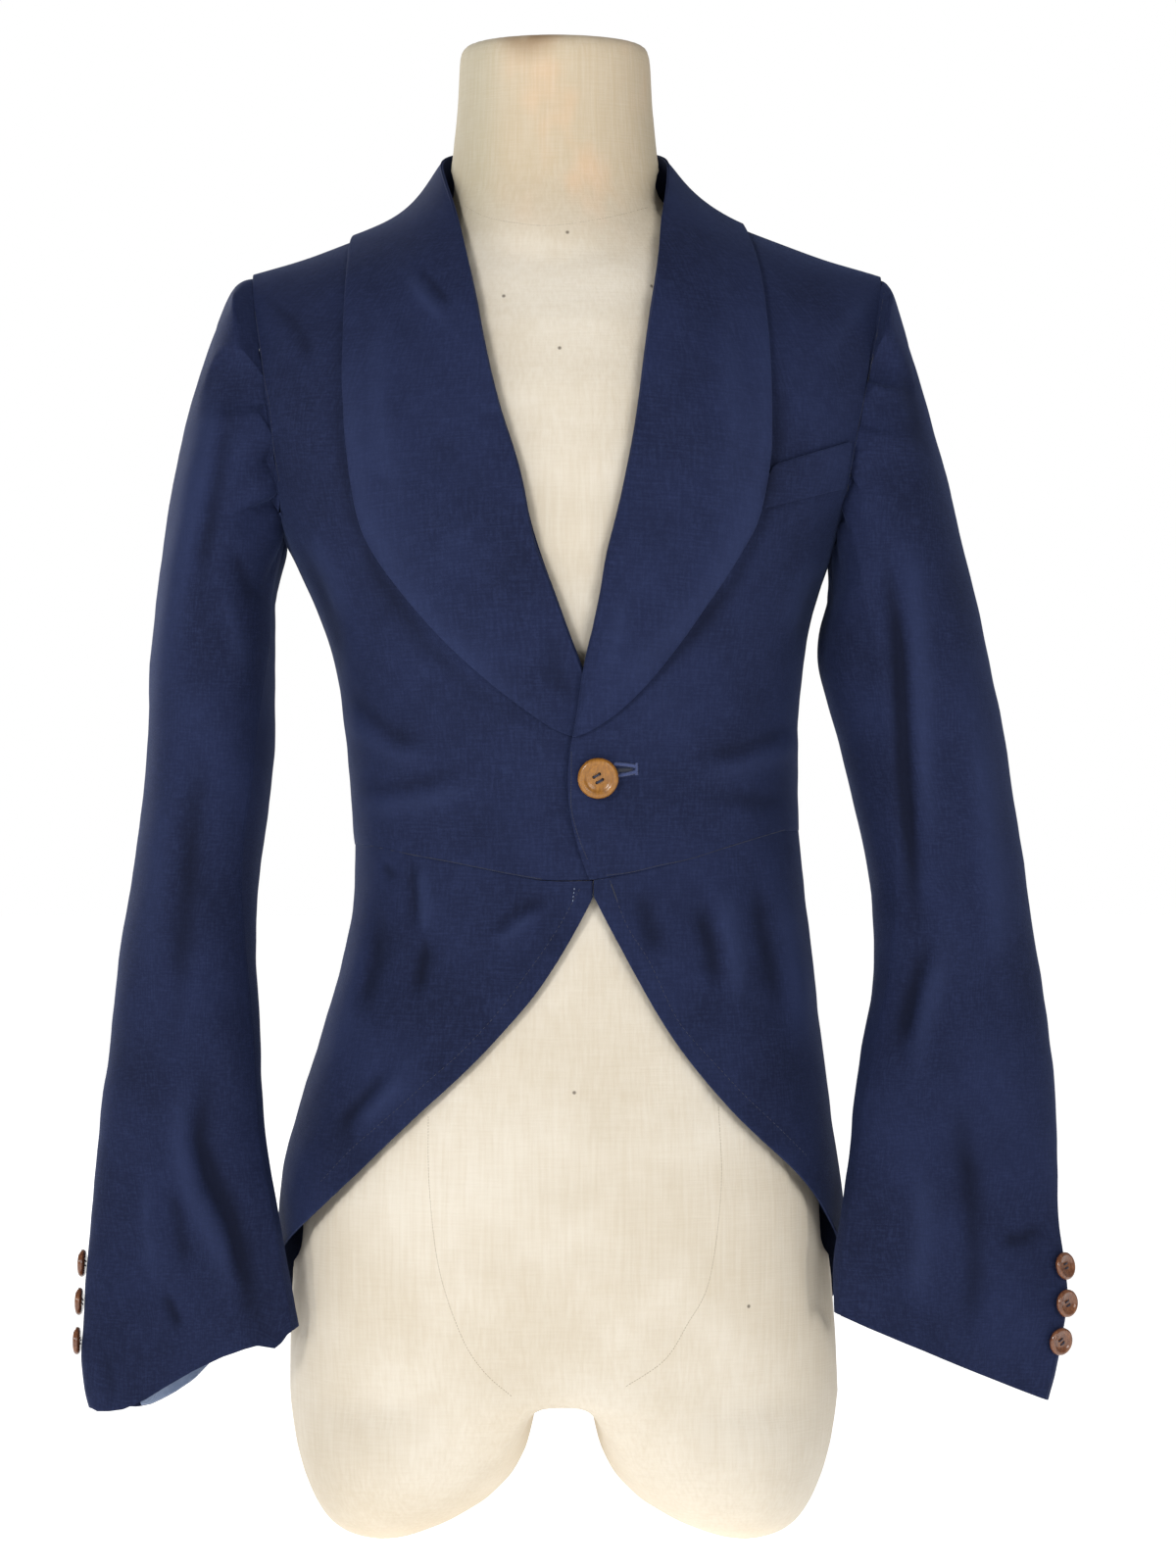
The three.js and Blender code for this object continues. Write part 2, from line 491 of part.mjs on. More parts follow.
// Collects points and outward faces, and gives them as a closed geometry
class Solid {
  constructor() {
    this.points = [];
    this.faces = [];
  }

  add(point) {
    this.points.push(onGrid(point.x), onGrid(point.y), onGrid(point.z));
    return this.points.length / 3 - 1;
  }

  quad(a, b, c, d) {
    this.faces.push(a, b, c, a, c, d);
  }

  geometry() {
    const geometry = new THREE.BufferGeometry();
    geometry.setAttribute('position', new THREE.Float32BufferAttribute(this.points, 3));
    geometry.setIndex(this.isInsideOut() ? [...this.faces].reverse() : this.faces);
    return geometry;
  }

  isInsideOut() {
    let volume = 0;
    const corner = (i) => new THREE.Vector3(...this.points.slice(3 * i, 3 * i + 3));
    for (let i = 0; i < this.faces.length; i += 3) {
      const [a, b, c] = this.faces.slice(i, i + 3).map(corner);
      volume += a.dot(b.cross(c));
    }
    return volume < 0;
  }
}

// Outward normals of a grid of points, by the differences between neighbours
function gridNormals(grid) {
  const rows = grid.length - 1;
  const columns = grid[0].length - 1;
  return grid.map((row, i) => row.map((_, j) => {
    const along = grid[i][Math.min(j + 1, columns)].clone().sub(grid[i][Math.max(j - 1, 0)]);
    const up = grid[Math.min(i + 1, rows)][j].clone().sub(grid[Math.max(i - 1, 0)][j]);
    return along.cross(up).normalize();
  }));
}

// Wall between an outer and an inner grid of points
function wallBetween(outer, inner) {
  const solid = new Solid();
  const front = outer.map((row) => row.map((point) => solid.add(point)));
  const rear = inner.map((row) => row.map((point) => solid.add(point)));
  const rows = outer.length - 1;
  const columns = outer[0].length - 1;
  for (let i = 0; i < rows; i += 1) {
    for (let j = 0; j < columns; j += 1) {
      solid.quad(front[i][j], front[i][j + 1], front[i + 1][j + 1], front[i + 1][j]);
      solid.quad(rear[i][j], rear[i + 1][j], rear[i + 1][j + 1], rear[i][j + 1]);
    }
    solid.quad(front[i][0], front[i + 1][0], rear[i + 1][0], rear[i][0]);
    solid.quad(front[i][columns], rear[i][columns], rear[i + 1][columns], front[i + 1][columns]);
  }
  for (let j = 0; j < columns; j += 1) {
    solid.quad(front[0][j], rear[0][j], rear[0][j + 1], front[0][j + 1]);
    solid.quad(front[rows][j], front[rows][j + 1], rear[rows][j + 1], rear[rows][j]);
  }
  return solid.geometry();
}

// Wall of the cloth's thickness with its middle on a grid of points
function wallAround(grid) {
  const normals = gridNormals(grid);
  const shifted = (side) => grid.map((row, i) => row.map((point, j) => (
    point.clone().addScaledVector(normals[i][j], (side * clothThickness) / 2)
  )));
  return wallBetween(shifted(1), shifted(-1));
}

// Wall whose outer side is raised from a surface: place gives each point, its normal and how far it is raised
function wallOn(rows, columns, place) {
  const outer = [];
  const inner = [];
  for (let i = 0; i <= rows; i += 1) {
    const spots = Array.from({ length: columns + 1 }, (_, j) => place(j / columns, i));
    outer.push(spots.map(({ point, normal, raise }) => point.clone().addScaledVector(normal, raise)));
    inner.push(spots.map(({ point, normal, raise }) => point.clone().addScaledVector(normal, raise - clothThickness)));
  }
  return wallBetween(outer, inner);
}

const shoulderHeight = curveThrough(shoulderLine, 'x', 'z');

function makeBody(rings, shoulderDrop) {
  return {
    minX: curveThrough(rings, 'z', 'minX'),
    maxX: curveThrough(rings, 'z', 'maxX'),
    front: curveThrough(rings, 'z', 'front'),
    back: curveThrough(rings, 'z', 'back'),
    ridge: (x) => shoulderHeight(Math.abs(x)) - shoulderDrop,
  };
}

const coat = makeBody(coatRings, 0);
const form = makeBody(formRings, formShoulderDrop);

// A point on a body. Turn: degrees round from the front centre, towards +X.
// Level: millimetres below the underarm where negative, degrees up the arch to the shoulder line above it.
function bodyPoint(body, turn, level) {
  const across = signedPower(Math.sin(turn * degree), 2 / ringPower);
  const along = signedPower(Math.cos(turn * degree), 2 / ringPower);
  const reachAt = (z) => across * (across < 0 ? -body.minX(z) : body.maxX(z));
  const climb = Math.sin(Math.max(level, 0) * degree);
  const close = Math.cos(Math.max(level, 0) * degree);
  let z = underarmZ + Math.min(level, 0);
  for (let pass = 0; pass < 10 && level > 0; pass += 1) {
    z = underarmZ + (body.ridge(reachAt(z)) - underarmZ) * climb;
  }
  const ringZ = Math.min(z, underarmZ);
  const ringY = along > 0 ? body.front(ringZ) * along : -body.back(ringZ) * along;
  return new THREE.Vector3(reachAt(z), mix(level > 0 ? shoulderLineY : 0, ringY, close), z);
}

function turnAt(body, x, z, behind) {
  const share = Math.min(Math.abs(x) / (x < 0 ? -body.minX(z) : body.maxX(z)), 1);
  const turn = Math.asin(share ** (ringPower / 2)) / degree;
  return (x < 0 ? -1 : 1) * (behind ? 180 - turn : turn);
}

function levelAt(body, x, z) {
  if (z <= underarmZ) return z - underarmZ;
  return Math.asin(Math.min((z - underarmZ) / (body.ridge(x) - underarmZ), 1)) / degree;
}

// Sum of the folds at a place seen from the front or the back
function foldHeight(folds, point, behind) {
  let sum = 0;
  for (const fold of folds) {
    if (fold.behind !== behind) continue;
    const runX = fold.x1 - fold.x0;
    const runZ = fold.z1 - fold.z0;
    const t = ((point.x - fold.x0) * runX + (point.z - fold.z0) * runZ) / (runX ** 2 + runZ ** 2);
    const held = THREE.MathUtils.clamp(t, 0, 1);
    const away = Math.hypot(point.x - fold.x0 - held * runX, point.z - fold.z0 - held * runZ);
    const taper = foldEnds + (1 - foldEnds) * Math.sin(Math.PI * held);
    sum += fold.height * taper * Math.exp(-((away / fold.width) ** 2));
  }
  return sum;
}

// How far the wearer's left front is lifted over the right one and over the end of its lapel
function overlapLift(x, z) {
  const layers = overlap.layers + overlap.lapelLayers * ease(...overlap.lapelFoot, z);
  const fade = (1 - ease(...overlap.top, z)) * (1 - ease(...overlap.side, x)) * ease(...overlap.foot, z);
  return layerStep * layers * fade;
}

// A spot on the coat's outer surface with its folds
function coatSpot(turn, level, lifted) {
  const step = surfaceStep;
  const point = bodyPoint(coat, turn, level);
  const along = bodyPoint(coat, turn + step, level).sub(bodyPoint(coat, turn - step, level));
  const up = bodyPoint(coat, turn, level + step).sub(bodyPoint(coat, turn, level - step));
  const normal = along.cross(up).normalize();
  const folds = foldHeight(coatFolds, point, Math.abs(turn) > 90);
  return { point, normal, raise: folds + (lifted ? overlapLift(point.x, point.z) : 0) };
}

const frontEdge = {
  left: curveThrough(frontEdgeLeft, 'z', 'x'),
  right: curveThrough(frontEdgeRight, 'z', 'x'),
};
const armholeReach = {
  left: curveThrough(armhole, 'z', 'left'),
  right: curveThrough(armhole, 'z', 'right'),
};
const waistHeight = curveThrough(waistSeam, 'x', 'z');
const necklineLevel = curveThrough(backNeckline, 'away', 'level');
const hemHeight = {
  left: curveThrough(hemLeft, 'turn', 'z'),
  right: curveThrough(hemRight, 'turn', 'z'),
};
const sign = { left: 1, right: -1 };

// Waist seam all round: across the front by place, then level round the side to the centre back
function waistZ(turn) {
  const sideZ = waistHeight(turn > 0 ? 130 : -110);
  if (Math.abs(turn) > 90) return mix(sideZ, backWaistZ, ease(90, 150, Math.abs(turn)));
  let z = sideZ;
  for (let pass = 0; pass < 3; pass += 1) {
    z = waistHeight(bodyPoint(coat, turn, z - underarmZ).x);
  }
  return z;
}

// Level of a row: even steps from the waist to the underarm, then closer ones at the foot of the armhole
function rowLevel(row, rows, low, high) {
  if (row <= rows.lower) return mix(low, 0, row / rows.lower);
  return high * ((row - rows.lower) / rows.upper) ** rowGather;
}

// Turn where a panel ends: the side seam below the underarm, the armhole above it
function sideTurn(side, z, level, behind) {
  if (level <= 0) return sign[side] * (behind ? 90 + sideGapTurn : 90 - sideGapTurn);
  return turnAt(coat, armholeReach[side](z), z, behind);
}

function bodiceFront(side) {
  return wallOn(frontRows.lower + frontRows.upper, frontRows.across, (u, row) => {
    let turn = sign[side] * mix(firstTurn.front, firstTurn.side, u);
    let level = 0;
    for (let pass = 0; pass < 8; pass += 1) {
      const low = waistZ(turn) + waistGap / 2 - underarmZ;
      level = rowLevel(row, frontRows, low, 90 - middleGapTurn);
      const { z } = bodyPoint(coat, turn, level);
      const inset = sign[side] * panelInset * ease(frontBreakZ, frontBreakZ + breakRun, z);
      turn = mix(turnAt(coat, frontEdge[side](z) + inset, z, false), sideTurn(side, z, level, false), u);
    }
    return coatSpot(turn, level, side === 'left');
  });
}

function bodiceBack(side) {
  const centreTurn = 180 - middleGapTurn;
  return wallOn(backRows.lower + backRows.upper, backRows.across, (u, row) => {
    const share = u ** columnGather;
    let turn = mix(centreTurn, firstTurn.back, share);
    let level = 0;
    for (let pass = 0; pass < 8; pass += 1) {
      const low = waistZ(sign[side] * turn) + waistGap / 2 - underarmZ;
      const { x } = bodyPoint(coat, sign[side] * turn, level);
      const high = Math.min(necklineLevel(Math.abs(x - neckMiddleX)), 90) - middleGapTurn;
      level = rowLevel(row, backRows, low, high);
      const { z } = bodyPoint(coat, sign[side] * turn, level);
      turn = mix(centreTurn, Math.abs(sideTurn(side, z, level, true)), share);
    }
    return coatSpot(sign[side] * turn, level, false);
  });
}

function skirt(side) {
  const pointTurn = sign[side] * frontPointTurn + middleGapTurn;
  return wallOn(skirtGrid.rows, skirtGrid.across, (u, row) => {
    const ownTurn = mix(pointTurn, 180 - middleGapTurn, u ** columnGather);
    const turn = sign[side] * ownTurn;
    const top = waistZ(turn) - waistGap / 2;
    const z = mix(hemHeight[side](ownTurn), top, row / skirtGrid.rows);
    return coatSpot(turn, z - underarmZ, side === 'left');
  });
}

// Stations of one half of the shawl collar, from the break of the lapel up and round to the centre back
function collarStations(side) {
  const lapel = (side === 'left' ? lapelLeft : lapelRight).map((row) => {
    const baseX = frontEdge[side](row.rollZ);
    const baseLevel = levelAt(coat, baseX, row.rollZ);
    const spot = coatSpot(turnAt(coat, baseX, row.rollZ, false), baseLevel, side === 'left');
    const top = spot.point.clone().addScaledVector(spot.normal, spot.raise + row.rise);
    const edgeLevel = levelAt(coat, row.edgeX, row.edgeZ);
    return { baseX, baseLevel, topX: top.x, topY: top.y, topZ: top.z, edgeX: row.edgeX, edgeLevel };
  });
  const rows = [...lapel, ...(side === 'left' ? collarLeft : collarRight)].map((row, i) => ({ ...row, i }));
  const columns = Object.keys(rows[0]).filter((name) => name !== 'i');
  const curves = Object.fromEntries(columns.map((name) => [name, curveThrough(rows, 'i', name)]));
  const count = Math.round((rows.length - 1) * collarSteps);
  return Array.from({ length: count + 1 }, (_, k) => (
    Object.fromEntries(columns.map((name) => [name, curves[name]((k / count) * (rows.length - 1))]))
  ));
}

// A spot under the collar, by place across and level, which passes 90 on the back
function spotUnderCollar(x, level, lifted) {
  const behind = level > 90;
  const own = behind ? 180 - level : level;
  const climb = Math.sin(Math.max(own, 0) * degree);
  const z = own > 0 ? underarmZ + (coat.ridge(x) - underarmZ) * climb : underarmZ + own;
  return coatSpot(turnAt(coat, x, z, behind), own, lifted);
}

function shawl(side) {
  const lifted = side === 'left';
  const half = clothThickness / 2;
  const grid = collarStations(side).map((station, row, all) => {
    const upShare = ease(collarFold.clearFrom, collarFold.clearTo, row / all.length);
    const clear = half + mix(collarClear.tip, collarClear.neck, upShare);
    const base = spotUnderCollar(station.baseX, station.baseLevel, lifted);
    const next = spotUnderCollar(
      mix(station.baseX, station.edgeX, collarFold.ahead),
      mix(station.baseLevel, station.edgeLevel, collarFold.ahead),
      lifted,
    );
    const outward = next.point.clone().sub(base.point).normalize();
    const foot = base.point.clone().addScaledVector(base.normal, base.raise);
    const top = new THREE.Vector3(station.topX, station.topY, station.topZ);
    const climb = top.clone().sub(foot).normalize();
    const points = [
      foot.clone().addScaledVector(outward, half).addScaledVector(base.normal, clear - half),
      foot.clone().addScaledVector(outward, half)
        .lerp(top.clone().addScaledVector(outward, half), collarFold.legShare),
      top.clone().addScaledVector(outward, half + collarFold.roll),
    ];
    const drop = Math.min(collarFold.drop, top.distanceTo(foot) - clear);
    const fallStart = top.clone()
      .addScaledVector(outward, clothThickness + collarFold.turned)
      .addScaledVector(climb, -drop);
    const lift = fallStart.sub(foot.clone().addScaledVector(base.normal, clear));
    for (let k = 0; k < collarFallPoints; k += 1) {
      const t = k / (collarFallPoints - 1);
      const spot = spotUnderCollar(
        mix(station.baseX, station.edgeX, t),
        mix(station.baseLevel, station.edgeLevel, t),
        lifted,
      );
      points.push(spot.point.clone().addScaledVector(spot.normal, spot.raise + clear)
        .addScaledVector(lift, (1 - t) ** 2));
    }
    return points;
  });
  return wallAround(grid);
}

// Outer outline of a sleeve where it meets the armhole
function armholePoint(side, turn) {
  const reach = armholeReach[side];
  const topZ = coat.ridge(reach(sleeveHead.topZ)) - sleeveHead.topDrop;
  const rise = signedPower(Math.cos(turn * degree), 2 / sleevePower);
  const z = mix(underarmZ + sleeveHead.footLift, topZ, (1 + rise) / 2);
  const x = reach(z);
  const behind = Math.sin(turn * degree) < 0;
  const spot = coatSpot(turnAt(coat, x, z, behind), levelAt(coat, x, z), false);
  const point = spot.point.clone();
  point.x = x + sign[side] * sleeveHeadShift;
  return point;
}

// Curves down a sleeve. Place: 0 at the armhole, then one for each row of its table.
function makeSleeve(side, table, folds) {
  const rows = table.map((row, i) => ({ ...row, i: i + 1 }));
  const curves = Object.fromEntries(Object.keys(table[0]).map((name) => [name, curveThrough(rows, 'i', name)]));
  return { side, folds, last: rows.length, at: (name, place) => curves[name](Math.max(place, 1)) };
}

const sleeves = {
  left: makeSleeve('left', sleeveLeft, sleeveFoldsLeft),
  right: makeSleeve('right', sleeveRight, sleeveFoldsRight),
};

// A point on a sleeve's outer surface
function sleevePoint(sleeve, place, turn) {
  const across = signedPower(Math.cos(turn * degree), 2 / sleevePower);
  const along = signedPower(Math.sin(turn * degree), 2 / sleevePower);
  const point = new THREE.Vector3(
    mix(sleeve.at('inX', place), sleeve.at('outX', place), (1 + across) / 2),
    sleeve.at('midY', place) - sleeve.at('depth', place) * along,
    mix(sleeve.at('inZ', place), sleeve.at('outZ', place), (1 + across) / 2),
  );
  if (place < 1) point.lerp(armholePoint(sleeve.side, turn), 1 - place);
  return point;
}

function sleeveSpot(sleeve, place, turn) {
  const { turn: step, place: along } = sleeveSteps;
  const near = THREE.MathUtils.clamp(place, sleeveSteps.normalsFrom, sleeve.last - along);
  const point = sleevePoint(sleeve, place, turn);
  const round = sleevePoint(sleeve, near, turn + step).sub(sleevePoint(sleeve, near, turn - step));
  const down = sleevePoint(sleeve, near + along, turn).sub(sleevePoint(sleeve, near - along, turn));
  const normal = round.cross(down).normalize().multiplyScalar(sign[sleeve.side]);
  const fade = ease(sleeveSteps.foldsFrom, sleeveSteps.foldsTo, place);
  return { point, normal, raise: fade * foldHeight(sleeve.folds, point, Math.sin(turn * degree) < 0) };
}

// Degrees that leave half a seam's gap at a place on a sleeve
function seamInset(sleeve, place, turn) {
  const span = sleevePoint(sleeve, place, turn + 1).distanceTo(sleevePoint(sleeve, place, turn - 1));
  const widened = sleeveHalfGap * (1 + sleeveWiden.times * (1 - ease(sleeveWiden.from, sleeveWiden.to, place)));
  return (2 * widened) / span;
}

// One of the two lengths of a sleeve: the upper one runs over the front between the seams
function sleeveLength(sleeve, isUpper) {
  const whole = Array.from({ length: sleeve.last }, (_, i) => i + 1);
  const stops = [0, ...whole, sleeve.last - 0.5, sleeve.last - 1.5].sort((a, b) => b - a);
  return wallOn(stops.length - 1, sleeveAcross, (u, row) => {
    const place = stops[row];
    const hind = sleeve.at('hindTurn', place);
    const fore = sleeve.at('foreTurn', place);
    const atHind = seamInset(sleeve, place, hind);
    const atFore = seamInset(sleeve, place, fore);
    const from = isUpper ? hind + atHind : fore + atFore;
    const to = isUpper ? fore - atFore : hind + 360 - atHind;
    return sleeveSpot(sleeve, place, mix(from, to, u));
  });
}

function facingStrip(sleeve) {
  return wallOn(cuffFacing.rows, cuffFacing.across, (u, row) => {
    const place = sleeve.last - cuffFacing.inset - cuffFacing.rowsDeep * (1 - row / cuffFacing.rows);
    const spot = sleeveSpot(sleeve, place, mix(cuffFacing.fromTurn, cuffFacing.toTurn, u));
    return { ...spot, raise: spot.raise - cuffFacing.recess };
  });
}

function breastWelt() {
  const nearX = (z) => curveThrough(lapelLeft.slice(0, -1), 'edgeZ', 'edgeX')(z) + weltInset;
  return wallOn(weltGrid.rows, weltGrid.across, (u, row) => {
    const t = row / weltGrid.rows;
    const nearZ = mix(weltBottom.nearZ, weltTop.nearZ, t);
    const x = mix(nearX(nearZ), mix(weltBottom.farX, weltTop.farX, t), u);
    const z = mix(nearZ, mix(weltBottom.farZ, weltTop.farZ, t), u);
    const spot = coatSpot(turnAt(coat, x, z, false), levelAt(coat, x, z), true);
    return { ...spot, raise: spot.raise + layerStep + weltGrid.proud };
  });
}

// A button with a raised rim and a dished middle, lying on a spot of cloth
function button(size, spot) {
  const radius = size.diameter / 2;
  const outline = buttonProfile.map(([x, y]) => new THREE.Vector2(radius * x, size.thickness * y));
  const geometry = new THREE.LatheGeometry(outline, size.sides);
  geometry.applyQuaternion(new THREE.Quaternion().setFromUnitVectors(new THREE.Vector3(0, 1, 0), spot.normal));
  const seat = spot.point.clone().addScaledVector(spot.normal, spot.raise + size.seat);
  geometry.translate(seat.x, seat.y, seat.z);
  geometry.attributes.position.array.forEach((value, i, all) => { all[i] = onGrid(value); });
  return geometry;
}

// Spot beside a sleeve's hind seam at a height
function hindSeamSpot(sleeve, z) {
  let low = 1;
  let high = sleeve.last;
  for (let pass = 0; pass < 30; pass += 1) {
    const middle = (low + high) / 2;
    if (sleevePoint(sleeve, middle, sleeve.at('hindTurn', middle) + cuffButtonBeside).z > z) low = middle;
    else high = middle;
  }
  return sleeveSpot(sleeve, low, sleeve.at('hindTurn', low) + cuffButtonBeside);
}

// The dress form: torso rings to the shoulders, a crotch strip, two thigh stubs, and a neck joined on
function formTorso() {
  const solid = new Solid();
  const firstQuarter = [...quarterTurns, 90];
  const halfTurns = [...firstQuarter, ...quarterTurns.slice().reverse().map((turn) => 180 - turn)];
  const turns = [...halfTurns.slice(0, -1), ...halfTurns.slice(1).reverse().map((turn) => -turn)];
  const count = turns.length;
  const levels = formHeights.map((z) => z - underarmZ).concat(formArchLevels);
  const rings = levels.map((level) => turns.map((turn) => solid.add(bodyPoint(form, turn, level))));
  for (let k = 0; k < rings.length - 1; k += 1) {
    for (let i = 0; i < count; i += 1) {
      const next = (i + 1) % count;
      solid.quad(rings[k][i], rings[k][next], rings[k + 1][next], rings[k + 1][i]);
    }
  }
  const top = rings[rings.length - 1];
  const quarter = firstQuarter.length - 1;
  const frontOf = (k) => top[(k + count) % count];
  const backOf = (k) => top[(count / 2 - k + count) % count];
  for (let k = -quarter; k < quarter; k += 1) {
    if (frontOf(k) !== backOf(k)) solid.faces.push(frontOf(k), frontOf(k + 1), backOf(k));
    if (frontOf(k + 1) !== backOf(k + 1)) solid.faces.push(frontOf(k + 1), backOf(k + 1), backOf(k));
  }

  const half = count / 2;
  const base = rings[0];
  const corner = (index) => new THREE.Vector3(...solid.points.slice(3 * index, 3 * index + 3));
  const chord = (frontIndex, backIndex) => {
    const points = [base[frontIndex]];
    for (let k = 1; k < chordSteps; k += 1) {
      const point = corner(base[frontIndex]).lerp(corner(base[backIndex]), k / chordSteps);
      points.push(solid.add(point));
    }
    return [...points, base[backIndex]];
  };
  const chordLeft = chord(1, half - 1);
  const chordRight = chord(count - 1, half + 1);
  for (let k = 0; k < chordSteps; k += 1) {
    solid.quad(chordRight[k], chordRight[k + 1], chordLeft[k + 1], chordLeft[k]);
  }
  solid.faces.push(chordRight[0], chordLeft[0], base[0]);
  solid.faces.push(chordRight[chordSteps], base[half], chordLeft[chordSteps]);

  const outerLeft = base.slice(1, half);
  const outerRight = base.slice(half + 1);
  addThigh(solid, [...outerLeft, ...chordLeft.slice(1, -1).reverse()], 1);
  addThigh(solid, [...outerRight, ...chordRight.slice(1, -1)], -1);
  return solid.geometry();
}

// Rings from a D-shaped loop of points down to the sole
function addThigh(solid, loop, side) {
  const start = thighRings[0];
  const corners = loop.map((index) => new THREE.Vector3(...solid.points.slice(3 * index, 3 * index + 3)));
  let above = loop;
  for (const ring of thighRings.slice(1)) {
    const middleX = (ring.inner + ring.outer) / 2;
    const middleY = (ring.front + ring.back) / 2;
    const here = corners.map((corner) => {
      const share = (Math.abs(corner.x) - start.inner) / (start.outer - start.inner);
      const depth = (corner.y - start.front) / (start.back - start.front);
      const flatX = mix(ring.inner, ring.outer, share);
      const flatY = mix(ring.front, ring.back, depth);
      const angle = Math.atan2(2 * depth - 1, 2 * share - 1);
      const roundX = middleX + ((ring.outer - ring.inner) / 2) * signedPower(Math.cos(angle), 0.9);
      const roundY = middleY + ((ring.back - ring.front) / 2) * signedPower(Math.sin(angle), 0.9);
      const x = side * mix(flatX, roundX, ring.roundness);
      return solid.add(new THREE.Vector3(x, mix(flatY, roundY, ring.roundness), ring.z));
    });
    for (let i = 0; i < loop.length; i += 1) {
      const next = (i + 1) % loop.length;
      solid.quad(here[i], here[next], above[next], above[i]);
    }
    above = here;
  }
  const sole = thighRings[thighRings.length - 1];
  const centre = solid.add(new THREE.Vector3(
    (side * (sole.inner + sole.outer)) / 2,
    (sole.front + sole.back) / 2,
    sole.z,
  ));
  for (let i = 0; i < loop.length; i += 1) {
    solid.faces.push(above[(i + 1) % loop.length], above[i], centre);
  }
}

function formNeck() {
  const solid = new Solid();
  const sides = neckSides;
  const rings = neckRings.map((ring) => Array.from({ length: sides }, (_, i) => {
    const angle = (2 * Math.PI * i) / sides;
    const depth = Math.cos(angle) > 0 ? -ring.front : ring.back;
    const x = neckCentreX + ring.halfWidth * Math.sin(angle);
    return solid.add(new THREE.Vector3(x, -depth * Math.cos(angle), ring.z));
  }));
  for (let k = 0; k < rings.length - 1; k += 1) {
    for (let i = 0; i < sides; i += 1) {
      const next = (i + 1) % sides;
      solid.quad(rings[k][i], rings[k][next], rings[k + 1][next], rings[k + 1][i]);
    }
  }
  const foot = solid.add(new THREE.Vector3(neckCentreX, 0, neckRings[0].z));
  const head = solid.add(new THREE.Vector3(neckCentreX, 0, neckRings[neckRings.length - 1].z));
  for (let i = 0; i < sides; i += 1) {
    const next = (i + 1) % sides;
    solid.faces.push(rings[0][next], rings[0][i], foot);
    solid.faces.push(rings[rings.length - 1][i], rings[rings.length - 1][next], head);
  }
  return solid.geometry();
}

function toManifold(geometry) {
  const bare = mergeVertices(geometry, 1e-4);
  return new wasm.Manifold(new wasm.Mesh({
    numProp: 3,
    vertProperties: new Float32Array(bare.attributes.position.array),
    triVerts: new Uint32Array(bare.index.array),
  }));
}

function fromManifold(manifold) {
  const mesh = manifold.getMesh();
  const geometry = new THREE.BufferGeometry();
  geometry.setAttribute('position', new THREE.BufferAttribute(Float32Array.from(mesh.vertProperties, onGrid), 3));
  geometry.setIndex(new THREE.BufferAttribute(new Uint32Array(mesh.triVerts), 1));
  return geometry;
}

const group = new THREE.Group();

function addPiece(name, geometry, look) {
  const mesh = new THREE.Mesh(geometry, new THREE.MeshStandardMaterial(look));
  mesh.name = name;
  group.add(mesh);
}

addPiece('dress_form', fromManifold(toManifold(formTorso()).add(toManifold(formNeck()))), linenCloth);
for (const side of ['left', 'right']) {
  addPiece(`front_${side}`, bodiceFront(side), navyCloth);
  addPiece(`back_${side}`, bodiceBack(side), navyCloth);
  addPiece(`skirt_${side}`, skirt(side), navyCloth);
  addPiece(`shawl_${side}`, shawl(side), navyCloth);
  addPiece(`upper_sleeve_${side}`, sleeveLength(sleeves[side], true), navyCloth);
  addPiece(`under_sleeve_${side}`, sleeveLength(sleeves[side], false), navyCloth);
  const heights = side === 'left' ? cuffButtonHeightsLeft : cuffButtonHeightsRight;
  heights.forEach((z, i) => {
    addPiece(`cuff_button_${side}_${i + 1}`, button(cuffButton, hindSeamSpot(sleeves[side], z)), darkButton);
  });
}
addPiece('cuff_facing_right', facingStrip(sleeves.right), facingCloth);
addPiece('breast_welt', breastWelt(), navyCloth);

const buttonTurn = turnAt(coat, frontButton.x, frontButton.z, false);
const buttonSpot = coatSpot(buttonTurn, levelAt(coat, frontButton.x, frontButton.z), true);
addPiece('front_button', button(frontButton, buttonSpot), hornButton);

// The origin is at the middle of the underside of the whole
const bounds = new THREE.Box3().setFromObject(group);
group.position.set(
  onGrid(-(bounds.min.x + bounds.max.x) / 2),
  onGrid(-(bounds.min.y + bounds.max.y) / 2),
  onGrid(-bounds.min.z),
);
group.updateMatrixWorld(true);

export default group;
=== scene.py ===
import math

import bmesh
import bpy
import numpy as np
from mathutils import Matrix, Vector
from mathutils.bvhtree import BVHTree


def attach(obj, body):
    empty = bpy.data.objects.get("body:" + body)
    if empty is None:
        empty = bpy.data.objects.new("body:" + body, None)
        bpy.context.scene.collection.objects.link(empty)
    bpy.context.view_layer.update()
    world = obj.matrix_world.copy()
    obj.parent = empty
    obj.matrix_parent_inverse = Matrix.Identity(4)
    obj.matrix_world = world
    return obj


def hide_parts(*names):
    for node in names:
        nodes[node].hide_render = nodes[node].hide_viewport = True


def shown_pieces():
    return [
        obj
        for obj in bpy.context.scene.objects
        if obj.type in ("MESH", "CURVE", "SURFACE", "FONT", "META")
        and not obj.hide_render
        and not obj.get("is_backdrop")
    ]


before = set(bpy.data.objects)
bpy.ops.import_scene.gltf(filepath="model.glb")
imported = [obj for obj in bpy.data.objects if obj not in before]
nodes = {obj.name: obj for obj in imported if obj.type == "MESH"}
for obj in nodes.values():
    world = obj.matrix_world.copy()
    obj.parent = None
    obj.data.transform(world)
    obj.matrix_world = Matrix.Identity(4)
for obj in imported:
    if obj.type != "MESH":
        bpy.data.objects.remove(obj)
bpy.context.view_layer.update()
print("frame loaded,", len(nodes), "nodes")

